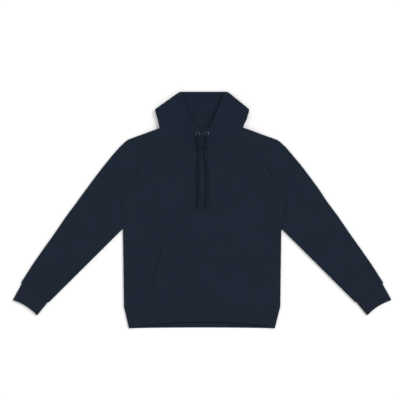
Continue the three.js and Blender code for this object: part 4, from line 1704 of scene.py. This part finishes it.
@dataclass
class Stitching:
    """Rows of topstitching, each stitch a bead of thread half sunk in the cloth.

    Attributes:
        name: the piece's name.
        length: length of a stitch.
        pitch: length from one stitch to the next.
        width: thickness of the thread. The real 0.3 mm is too fine to show, so it is drawn coarser.
        height: how far it would stand on a hard surface.
        step: length of the steps in which a row follows the cloth.
        reach: how far above or below the floor the cloth is looked for.
        stitches: by stitch, its place and the directions along, across and out of the cloth.
    """

    name: str
    length: float = 2.7
    pitch: float = 3.3
    width: float = 0.55
    height: float = 0.4
    step: float = 1.1
    reach: float = 100.0
    stitches: list[np.ndarray] = field(default_factory=list)

    def on_cloth(self, cloth: bpy.types.Object, plan: np.ndarray, layer: Layer) -> np.ndarray:
        """Lays points of a plan on the outer face of a finished piece.

        Args:
            cloth: the piece.
            plan: x and y of each point.
            layer: upper for the face that looks up and lower for the one that looks down.

        Returns:
            x, y and z of the points that meet the piece.
        """
        tree = BVHTree.FromObject(cloth, bpy.context.evaluated_depsgraph_get())
        start, ahead = layer.value * self.reach * MM, (0, 0, -layer.value)
        found = (tree.ray_cast((x * MM, y * MM, start), ahead)[0] for x, y in plan)
        return np.array([tuple(place) for place in found if place is not None]).reshape(-1, 3) / MM

    def row(
        self, cloth: bpy.types.Object, line: EdgeLine, layer: Layer, part: tuple[float, float] = (0, 1),
    ) -> None:
        """Sews a row of stitches along a line.

        Args:
            cloth: the piece that it is sewn on.
            line: the row in plan.
            layer: the side of the piece.
            part: the shares of the line's length from and to which it goes.
        """
        lengths = np.linalg.norm(np.diff(line.points, axis=0), axis=1)
        ends = np.concatenate([[0.0], np.cumsum(lengths)])
        start, stop = (share * ends[-1] for share in part)
        places = rows_to(start, stop, self.step)
        plan = np.stack([np.interp(places, ends, line.points[:, k]) for k in range(2)], axis=1)
        laid = self.on_cloth(cloth, plan, layer)
        ends = np.concatenate([[0.0], np.cumsum(np.linalg.norm(np.diff(laid, axis=0), axis=1))])
        count = int((ends[-1] - self.length) / self.pitch) + 1
        first = (ends[-1] - (count - 1) * self.pitch) / 2
        for place in first + self.pitch * np.arange(count):
            spots = [place + share * self.length for share in (-0.5, 0, 0.5)]
            back, at, front = np.array([np.interp(spots, ends, laid[:, k]) for k in range(3)]).T
            along = (front - back) / np.linalg.norm(front - back)
            across = np.cross((0, 0, layer.value), along)
            across /= np.linalg.norm(across)
            self.stitches.append(np.stack([at, along, across, np.cross(along, across)]))

    def bar(self, cloth: bpy.types.Object, start: np.ndarray, end: np.ndarray) -> None:
        """Sews a short bar of close stitches across the way from start to end.

        Args:
            cloth: the piece that it is sewn on.
            start: x and y where it starts.
            end: x and y where it ends.
        """
        ahead = (end - start) / np.linalg.norm(end - start)
        across = np.array([-ahead[1], ahead[0], 0.0])
        places = np.linspace(start, end, round(math.dist(start, end) / self.width))
        for at in self.on_cloth(cloth, places, Layer.UPPER):
            self.stitches.append(np.stack([at, across, np.cross((0, 0, 1), across), (0, 0, 1)]))

    def build(self, material: bpy.types.Material) -> bpy.types.Object:
        """Makes all the stitches as one piece, from one that is modelled once.

        Args:
            material: its finish.

        Returns:
            The piece.
        """
        deselect()
        bpy.ops.mesh.primitive_uv_sphere_add(segments=6, ring_count=4, radius=0.5)
        piece = name_active(self.name)
        edit(piece, lambda: bpy.ops.mesh.normals_make_consistent(inside=False))
        bead = np.array([vertex.co for vertex in piece.data.vertices])[:, (2, 0, 1)]
        bead *= (self.length, self.width, self.height)
        faces = [tuple(face.vertices) for face in piece.data.polygons]
        frames = np.array(self.stitches)
        spots = frames[:, None, 0] + np.einsum("vk,nkc->nvc", bead, frames[:, 1:])
        copied = [tuple(v + k * len(bead) for v in face) for k in range(len(frames)) for face in faces]
        piece.data.clear_geometry()
        piece.data.from_pydata((spots.reshape(-1, 3) * MM).tolist(), [], copied)
        piece.data.update()
        shade(piece, 80)
        dress(piece, "fleece", material)
        return piece


@dataclass
class Topstitching:
    """All the garment's topstitching.

    Attributes:
        cloths: the finished pieces, by node.
        pocket: the pocket's sizes.
        halves: the hood halves' sizes.
        rows: distances of the twin rows from a seam.
        shoulder_rows: distances of the shoulder's rows from the edge.
        hem: distance of the single row from the edge of a pocket opening.
        bar: length of the bars at the ends of the pocket's openings.
        clear: length that a row keeps off a crossing seam.
    """

    cloths: dict[str, bpy.types.Object]
    pocket: Pocket
    halves: tuple[HoodHalf, HoodHalf]
    rows: tuple[float, float] = (2.6, 7.6)
    shoulder_rows: tuple[float, float] = (5.5, 10.5)
    hem: float = 18.0
    bar: float = 9.0
    clear: float = 4.0

    def body(self) -> Stitching:
        """Twin rows at the armholes, the neck, the waistband and the shoulders.

        Returns:
            The stitches.
        """
        stitching = Stitching("body_stitching")
        for layer, name in ((Layer.UPPER, "front"), (Layer.LOWER, "back")):
            lines = [(PATTERN.shoulder_line().inset(away), (0.03, 0.95)) for away in self.shoulder_rows]
            for away in self.rows:
                lines.append((PATTERN.armhole_line().inset(away), (0.02, 0.975)))
                lines.append((PATTERN.neck_line(layer).inset(-away), (0.0, 0.975)))
                # In front the pocket covers the middle of the waistband's rows
                start = 0.665 if layer is Layer.UPPER else 0.0
                lines.append((PATTERN.waist_line().inset(away), (start, 0.985)))
            for line, part in lines:
                for hand in Hand:
                    stitching.row(self.cloths[name], EdgeLine(line.points * (hand.value, 1)), layer, part)
        return stitching

    def sleeves(self) -> Stitching:
        """Twin rows above the cuffs, on both layers of each sleeve.

        Returns:
            The stitches.
        """
        stitching = Stitching("sleeve_stitching")
        for hand in Hand:
            for away in self.rows:
                line = EdgeLine(np.array(Cuff.seam)).inset(-away).points * (hand.value, 1)
                for layer in Layer:
                    stitching.row(self.cloths[f"sleeve_{hand.word}"], EdgeLine(line), layer, (0.04, 0.96))
        return stitching

    def pouch(self) -> Stitching:
        """Twin rows round the pocket, a row along each opening's hem and a bar at its ends.

        Returns:
            The stitches.
        """
        stitching = Stitching("pocket_stitching")
        cloth = self.cloths["pocket"]
        (low, side), (corner, _), (high, top) = self.pocket.sides
        for away in self.rows:
            foot_half = side - self.rows[1] - self.pocket.slack
            for half, y in ((top - self.clear, high - away), (foot_half, low + away)):
                stitching.row(cloth, EdgeLine(np.array([(-half, y), (half, y)])), Layer.UPPER)
            for hand in Hand:
                x = hand.value * (side - away)
                line = EdgeLine(np.array([(x, low + self.clear), (x, corner - self.clear)]))
                stitching.row(cloth, line, Layer.UPPER)
        opening = EdgeLine(np.array([(side, corner), (top, high)]))
        hem = opening.inset(self.hem).points
        for hand in Hand:
            stitching.row(cloth, EdgeLine(hem * (hand.value, 1)), Layer.UPPER, (0.01, 0.93))
            for share, shift in ((0.0, self.clear), (1.0, -self.clear)):
                place, out = opening.walk(share)
                start = place - out * 1.5 + (0, shift)
                stitching.bar(cloth, start * (hand.value, 1), (start - out * self.bar) * (hand.value, 1))
        return stitching

    def hood(self) -> Stitching:
        """A row along the tunnel of each wing.

        Returns:
            The stitches.
        """
        stitching = Stitching("hood_stitching")
        for half in self.halves:
            points = half.opening_line().inset(-half.tunnel).points
            points = points[points[:, 1] > PATTERN.panel_top(Layer.UPPER, points[:, 0]) + self.clear]
            line = EdgeLine(points * (half.hand.value, 1))
            stitching.row(self.cloths[f"hood_{half.hand.word}"], line, Layer.UPPER, (0.0, 0.98))
        return stitching

    def build(self, material: bpy.types.Material) -> None:
        """Sews every row."""
        for stitching in (self.body(), self.sleeves(), self.pouch(), self.hood()):
            stitching.build(material)


def turned_piece(name: str, profile: Sequence[tuple[float, float]], sides: int) -> bpy.types.Object:
    """Turns a closed profile about the Z axis by extruding a ring from step to step.

    Args:
        name: the piece's name.
        profile: radius and height of each step, in millimetres.
        sides: sides of the ring.

    Returns:
        The piece, closed, with its faces outward.
    """
    deselect()
    radius, height = profile[0]
    bpy.ops.mesh.primitive_circle_add(vertices=sides, radius=radius * MM, location=(0, 0, height * MM))
    piece = name_active(name)
    bpy.ops.object.transform_apply(location=True)
    bpy.ops.object.mode_set(mode="EDIT")
    for new_radius, new_height in [*profile[1:], profile[0]]:
        bpy.ops.mesh.extrude_region_move(
            TRANSFORM_OT_translate={"value": (0, 0, (new_height - height) * MM), "orient_type": "GLOBAL"})
        factor = new_radius / radius
        bpy.ops.transform.resize(value=(factor, factor, 1), center_override=(0, 0, 0), orient_type="GLOBAL")
        radius, height = new_radius, new_height
    bpy.ops.mesh.select_all(action="SELECT")
    bpy.ops.mesh.remove_doubles(threshold=0.000002)
    bpy.ops.mesh.normals_make_consistent(inside=False)
    bpy.ops.object.mode_set(mode="OBJECT")
    return piece


def move_mesh(piece: bpy.types.Object, to: Sequence[float], turn: float = 0.0) -> None:
    """Turns a piece about X, puts it in its place and leaves the object at the origin.

    Args:
        piece: the piece.
        to: its place, in millimetres.
        turn: the turn, in degrees.
    """
    activate(piece)
    piece.rotation_euler = (math.radians(turn), 0, 0)
    piece.location = [value * MM for value in to]
    bpy.ops.object.transform_apply(location=True, rotation=True)


@dataclass
class Eyelet:
    """Two-part metal eyelet pressed into the hood's front edge.

    Attributes:
        hand: its side.
        at: x and y of its middle.
        wing: height of the middle of the cloth that it is pressed into.
        seat: how far its flanges lie off the middle of the cloth.
        hole: radius of its hole.
        rim: radius of its flange.
        crown: height of its rounded rim over the flange.
    """

    hand: Hand
    at: tuple[float, float]
    wing: float
    seat: float = 1.75
    hole: float = 5.0
    rim: float = 6.8
    crown: float = 1.15

    def build(self, material: bpy.types.Material) -> bpy.types.Object:
        """Makes the eyelet.

        Args:
            material: its finish.

        Returns:
            The piece.
        """
        top, middle = self.seat + self.crown, (self.hole + self.rim) / 2
        profile = (
            (self.hole, -self.seat - 0.5), (self.hole, top - 0.75), (self.hole + 0.2, top - 0.3),
            (self.hole + 0.5, top - 0.05), (middle, top), (self.rim - 0.5, top - 0.2),
            (self.rim - 0.15, top - 0.55), (self.rim, self.seat + 0.25), (self.rim - 0.15, self.seat),
            (self.hole + 0.5, self.seat), (self.hole + 0.4, self.seat - 0.1),
            (self.hole + 0.4, -self.seat + 0.1), (self.hole + 0.5, -self.seat), (self.rim - 0.6, -self.seat),
            (self.rim - 0.5, -self.seat - 0.3), (self.rim - 0.8, -self.seat - 0.6),
        )
        piece = turned_piece(f"eyelet_{self.hand.word}_metal", profile, 48)
        move_mesh(piece, (*self.at, self.wing))
        shade(piece, 40)
        dress(piece, "eyelet", material, f"eyelet_{self.hand.word}")
        return piece

    def pierce(self, wing: bpy.types.Object) -> None:
        """Cuts the eyelet's hole through the wing of the hood.

        Args:
            wing: the wing.
        """
        deselect()
        bpy.ops.mesh.primitive_cylinder_add(
            vertices=40, radius=(self.hole + 0.45) * MM, depth=12 * MM,
            location=(self.at[0] * MM, self.at[1] * MM, self.wing * MM))
        cutter = name_active("hole_cutter")
        modify(wing, "BOOLEAN", operation="DIFFERENCE", solver="EXACT", object=cutter)
        bpy.data.objects.remove(cutter, do_unlink=True)
        shade(wing, 50)


@dataclass
class Drawcord:
    """Free end of the drawcord, braided, from its eyelet to its tip.

    Attributes:
        hand: its side.
        route: its middle line, as in the CAD, in millimetres.
        radius: its radius where it is round.
        widen: share that it widens where it lies flat.
        flatten: share that it is pressed down there.
        round_above: y above which it is round.
        flat_below: y below which it lies flat.
        taper: length over which it is round again at the tip.
        sides: sides of its mesh.
        step: length of its mesh's cells.
        strands: strands of the braid that wind each way.
        lead: length of the braid's repeat.
        relief: height of a strand.
    """

    hand: Hand
    route: tuple[tuple[float, float, float], ...]
    radius: float = 3.4
    widen: float = 0.42
    flatten: float = 0.46
    round_above: float = 246.0
    flat_below: float = 222.0
    taper: float = 12.0
    sides: int = 40
    step: float = 0.5
    strands: int = 4
    lead: float = 14.0
    relief: float = 0.45

    def middle_line(self) -> np.ndarray:
        """Smooth line through the route, in even steps.

        Returns:
            x, y and z of its points.
        """
        points = np.array(self.route)
        lengths = np.concatenate([[0.0], np.cumsum(np.linalg.norm(np.diff(points, axis=0), axis=1))])
        places = np.linspace(0, lengths[-1], round(lengths[-1] / self.step) + 1)
        tables = [np.stack([lengths, points[:, k]], axis=1) for k in range(3)]
        return np.stack([curve_value(table, places) for table in tables], axis=1)

    def length(self) -> float:
        """Length of the cord from its eyelet to its tip's foot, in millimetres."""
        line = self.middle_line()
        return float(np.linalg.norm(np.diff(line, axis=0), axis=1).sum())

    def build(self, material: bpy.types.Material, tip: bpy.types.Object) -> bpy.types.Object:
        """Args:
            material: its finish.
            tip: the tip on its end; not used.

        Returns:
            The piece.
        """
        line = self.middle_line()
        flat = smoothstep((self.round_above - line[:, 1]) / (self.round_above - self.flat_below))
        flat = flat * smoothstep((line[:, 1] - line[-1, 1]) / self.taper)
        line[:, 2] -= self.radius * self.flatten * flat
        along = np.gradient(line, axis=0)
        along /= np.linalg.norm(along, axis=1)[:, None]
        aside = np.cross(along, (0, 0, 1.0))
        aside[0] = aside[1] if np.linalg.norm(aside[0]) < 0.2 else aside[0]
        aside = np.where(np.linalg.norm(aside, axis=1)[:, None] < 0.3, (1.0, 0, 0), aside)
        aside /= np.linalg.norm(aside, axis=1)[:, None]
        above = np.cross(aside, along)
        angle = np.linspace(0, 2 * math.pi, self.sides, endpoint=False)[None, :]
        place = np.linspace(0, self.length(), len(line))[:, None] * 2 * math.pi / self.lead
        one = np.cos(self.strands * (angle + place))
        other = np.cos(self.strands * (angle - place))
        over = np.cos(self.strands * angle) * np.cos(self.strands * place) > 0
        braid = np.where(over, np.maximum(one, other * 0.5), np.maximum(other, one * 0.5))
        radius = (self.radius - self.relief * (0.5 - 0.5 * braid))[..., None]
        flat = flat[:, None]
        wide = (np.cos(angle) * (1 + self.widen * flat))[..., None]
        high = (np.sin(angle) * (1 - self.flatten * flat))[..., None]
        ring = wide * aside[:, None] + high * above[:, None]
        points = line[:, None] + radius * ring
        cap = line[0] + (points[0] - line[0]) * 0.5 - along[0] * 1.2
        points = np.concatenate([cap[None], points])
        piece = grid_piece(f"drawcord_{self.hand.word}_braid", points, ring=True)
        edit(piece, lambda: bpy.ops.mesh.region_to_loop(), lambda: bpy.ops.mesh.edge_face_add())
        edit(piece, lambda: bpy.ops.mesh.normals_make_consistent(inside=False))
        shade(piece, 60)
        dress(piece, "cord", material, f"drawcord_{self.hand.word}")
        self.length() * MM
        return piece


@dataclass
class CordTip:
    """Hard tip crimped on the cord's end.

    Attributes:
        hand: its side.
        start: where it starts on the cord.
        end: y of its end.
        radius: its radius.
    """

    hand: Hand
    start: tuple[float, float, float]
    end: float = 6.6
    radius: float = 3.65

    def build(self, material: bpy.types.Material) -> bpy.types.Object:
        """Makes the tip.

        Args:
            material: its finish.

        Returns:
            The piece.
        """
        length = self.start[1] - self.end
        r = self.radius
        profile = (
            (0.05, 0), (r - 1.3, 0), (r - 0.7, 0.15), (r - 0.25, 0.6), (r - 0.05, 1.2),
            (r - 0.05, length - 5.6), (r - 0.35, length - 5.1), (r - 0.35, length - 4.3),
            (r, length - 3.8), (r, length - 0.5), (r - 0.3, length), (0.05, length),
        )
        piece = turned_piece(f"tip_{self.hand.word}_end", profile, 40)
        move_mesh(piece, (self.start[0], self.end, self.start[2]), turn=-90)
        shade(piece, 35)
        dress(piece, "tip", material, f"tip_{self.hand.word}")
        return piece


# Middle lines of the two cord ends, from the eyelet to the tip, as in the CAD
LEFT_ROUTE = (
    (-15.3, 258.3, 17.5), (-15.2, 255.8, 20.9), (-15, 251.9, 23.8), (-14.6, 246.7, 24.9), (-13.8, 241, 24.3),
    (-12.5, 232, 21.9), (-11, 222, 19.3), (-10, 214, 17.9), (-9.7, 205, 15.4), (-9.9, 195, 12.9),
    (-10.7, 183.4, 11.8), (-12.6, 168, 11.7), (-13.8, 152.8, 11.7), (-14.6, 128, 11.7), (-14.5, 101.8, 11.7),
    (-14, 68, 11.7), (-13.1, 33.8, 11.7),
)
RIGHT_ROUTE = (
    (15.6, 258.3, 14.1), (15.5, 255.8, 17.5), (15.4, 251.9, 20.4), (15, 246.7, 21.5), (14.2, 241, 20.6),
    (13, 232, 18.2), (11.8, 222, 15.9), (10.8, 214, 14.5), (10.5, 205, 13), (10.5, 195, 11.9),
    (10.7, 183.4, 11.8), (12.9, 168, 11.7), (15.1, 152.8, 11.7), (16.8, 128, 11.7), (17.5, 101.8, 11.7),
    (16.9, 68, 11.7), (14.5, 33.8, 11.7),
)


@dataclass
class Studio:
    """White floor, soft light from the upper right and the camera straight above.

    Attributes:
        pixel: size of one pixel of the photo on the floor.
        centre: the photo's middle, in the garment's frame.
        frame_pixels: the photo's width.
        lens: the camera's lens.
        sensor: its sensor's width.
        floor_colour: the floor's colour.
        sunk: how far the floor is under the garment, so that their faces don't meet.
        world: strength of the even light.
        key: strength of the soft light.
        key_from: where it comes from.
        key_angle: how wide it is, in degrees.
    """

    pixel: float = 3.4
    centre: tuple[float, float] = (-7.3, 33.8)
    frame_pixels: int = 400
    lens: float = 85.0
    sensor: float = 36.0
    floor_colour: str = "fafafa"
    sunk: float = 0.25
    world: float = 0.79
    key: float = 1.35
    key_from: tuple[float, float, float] = (1.0, 0.72, 1.15)
    key_angle: float = 28.0

    def floor(self) -> None:
        """Lays the floor."""
        deselect()
        bpy.ops.mesh.primitive_plane_add(size=40, location=(0, 0, -self.sunk * MM))
        floor = name_active("studio_floor")
        bpy.ops.object.transform_apply(location=True)
        material, tree, shader = new_material("matt white paper")
        place = node(tree, "ShaderNodeTexCoord")
        tone = node(tree, "ShaderNodeTexNoise", {"Vector": place.outputs["Object"], "Scale": 2.0})
        colour = blend(tree, tone.outputs["Fac"], self.floor_colour, "ffffff")
        tree.links.new(colour, shader.inputs["Base Color"])
        shader.inputs["Roughness"].default_value = 1.0
        shader.inputs["Specular IOR Level"].default_value = 0.0
        floor.data.materials.append(material)

    def light(self) -> None:
        """Sets the even light and the soft one."""
        world = bpy.data.worlds.new("studio")
        bpy.context.scene.world = world
        world.use_nodes = True
        world.node_tree.nodes["Background"].inputs["Color"].default_value = (1, 1, 1, 1)
        world.node_tree.nodes["Background"].inputs["Strength"].default_value = self.world
        deselect()
        bpy.ops.object.light_add(type="SUN", location=self.key_from)
        lamp = bpy.context.object
        lamp.name = "soft_light"
        lamp.data.angle = math.radians(self.key_angle)
        lamp.data.energy = self.key
        towards = -lamp.location
        lamp.rotation_euler = towards.to_track_quat("-Z", "Y").to_euler()

    def camera(self) -> None:
        """Puts the camera straight above the photo's middle."""
        width = self.pixel * self.frame_pixels * MM
        height = width * self.lens / self.sensor
        deselect()
        x, y = self.centre
        bpy.ops.object.camera_add(location=(x * MM, y * MM, height), rotation=(0, 0, 0))
        camera = bpy.context.object
        camera.name = "overhead_camera"
        camera.data.lens = self.lens
        camera.data.sensor_width = self.sensor
        bpy.context.scene.camera = camera
        bpy.context.scene.view_settings.view_transform = "Standard"


@dataclass
class Hoodie:
    """The whole garment.

    Attributes:
        studio: floor, light and camera.
    """

    studio: Studio = field(default_factory=Studio)

    def build(self) -> None:
        """Makes every piece, from the studio to the trims."""
        self.studio.camera()
        self.studio.floor()
        self.studio.light()
        # Cord: the darkest cloth here, dull, so that the braid reads by its relief alone
        braid = PlainFinish("braided cotton cord", "171d29", "111722", 0.0, (0.85, 0.95), 900.0, 0.1).make()
        # Tip: near black with a faint soft shine, which sets its hard form off from the braid
        satin = PlainFinish("satin lacquered tip", "141922", "0f131b", 0.0, (0.6, 0.7), 400.0, 0.15).make()
        for hand, route in ((Hand.LEFT, LEFT_ROUTE), (Hand.RIGHT, RIGHT_ROUTE)):
            tip = CordTip(hand, (route[-1][0], 33.5, route[-1][2])).build(satin)
            Drawcord(hand, route).build(braid, tip)
        # Fleece: matt navy with a faint nap and uneven tone, the look of washed cotton
        fleece = KnitFinish().make()
        # Rib: finer, with its columns close together; its colour is painted a shade lighter than the fleece,
        # painted light that makes up for the shade in its grooves
        rib = KnitFinish(
            name="rib knit", colour="1a2331", shadow="151c2a", pitch=1.4, bump=0.3,
        ).make()
        front = BodyPanel(Layer.UPPER, Cut(538, 610, 0.291), creases=LAY.upper)
        back = BodyPanel(Layer.LOWER, Cut(538, 647, 0.3085), cell=5.0, creases=LAY.under)
        cloths = {
            "front": front.build("front_cloth", fleece, "front"),
            "back": back.build("back_cloth", fleece, "back"),
        }
        for hand in Hand:
            cloths[f"sleeve_{hand.word}"] = Sleeve(edge=SLEEVE_EDGE[hand]).build(hand, fleece)
            Cuff().build(hand, rib)
        Waistband().build(rib)
        side = (
            (0.2, 151.5, 308), (0.35, 158.8, 334), (0.39, 159.9, 338.4), (0.41, 158.9, 341.6),
            (0.44, 155.8, 344.6),
        )
        halves = (HoodHalf(
            Hand.LEFT, side=((0, 145.4, 279), (0.02, 145.8, 283), *side, (0.9, 88, 392.6), (1, 73.6, 401.4)),
            opening=((0, -6, 215.5), (0.2, -0.5, 263.3), (0.27, 13.5, 275), (0.35, 25, 288.5),
                     (0.5, 39.5, 314), (0.76, 57.6, 357), (1, 72, 400)),
        ), HoodHalf(
            Hand.RIGHT, neck_turn=(139.9, 281), curl=6.5,
            side=((0, 141, 280), (0.02, 139.6, 284.5), *side, (0.9, 96.5, 393), (1, 84.8, 401.4)),
            opening=((0, -6, 215.5), (0.2, 0.5, 263.3), (0.27, 16, 275), (0.35, 28, 288.5), (0.5, 41.5, 314),
                     (0.76, 59.4, 358.5), (1, 81, 400)),
        ))
        # Hood: the same cloth, double; its colour is painted a little darker than the body's fleece, as
        # painted shade
        hood_fleece_painted_shade = KnitFinish(name="cotton fleece, double", colour="17202f", shadow="131a29").make()
        left, right = (half.build(hood_fleece_painted_shade) for half in halves)
        cloths |= {"hood_left": left, "hood_right": right}
        CrownFold().build(hood_fleece_painted_shade)
        cloths["pocket"] = Pocket().build(fleece)
        # Thread: tone on tone, smoother than the cloth, so the rows show as a fine light line
        thread = PlainFinish(
            "spun polyester thread", "1d2635", "171f2c", 0.0, (0.55, 0.7), 1200.0, 0.2).make()
        Topstitching(cloths, Pocket(), halves).build(thread)
        # Nickel: the one bright spot, its roughness uneven from handling
        nickel = PlainFinish("nickel-plated brass", "7b7e83", "5a5d62", 1.0, (0.25, 0.4), 500.0).make()
        for eyelet, wing in (
            (Eyelet(Hand.LEFT, (-15.3, 257.2), 16.6), left), (Eyelet(Hand.RIGHT, (15.6, 257.2), 13.2), right),
        ):
            eyelet.pierce(wing)
            eyelet.build(nickel)


def main() -> None:
    """Builds the garment."""
    logging.basicConfig(level=logging.INFO, format="%(message)s")
    Hoodie().build()


if __name__ == "__main__":
    main()
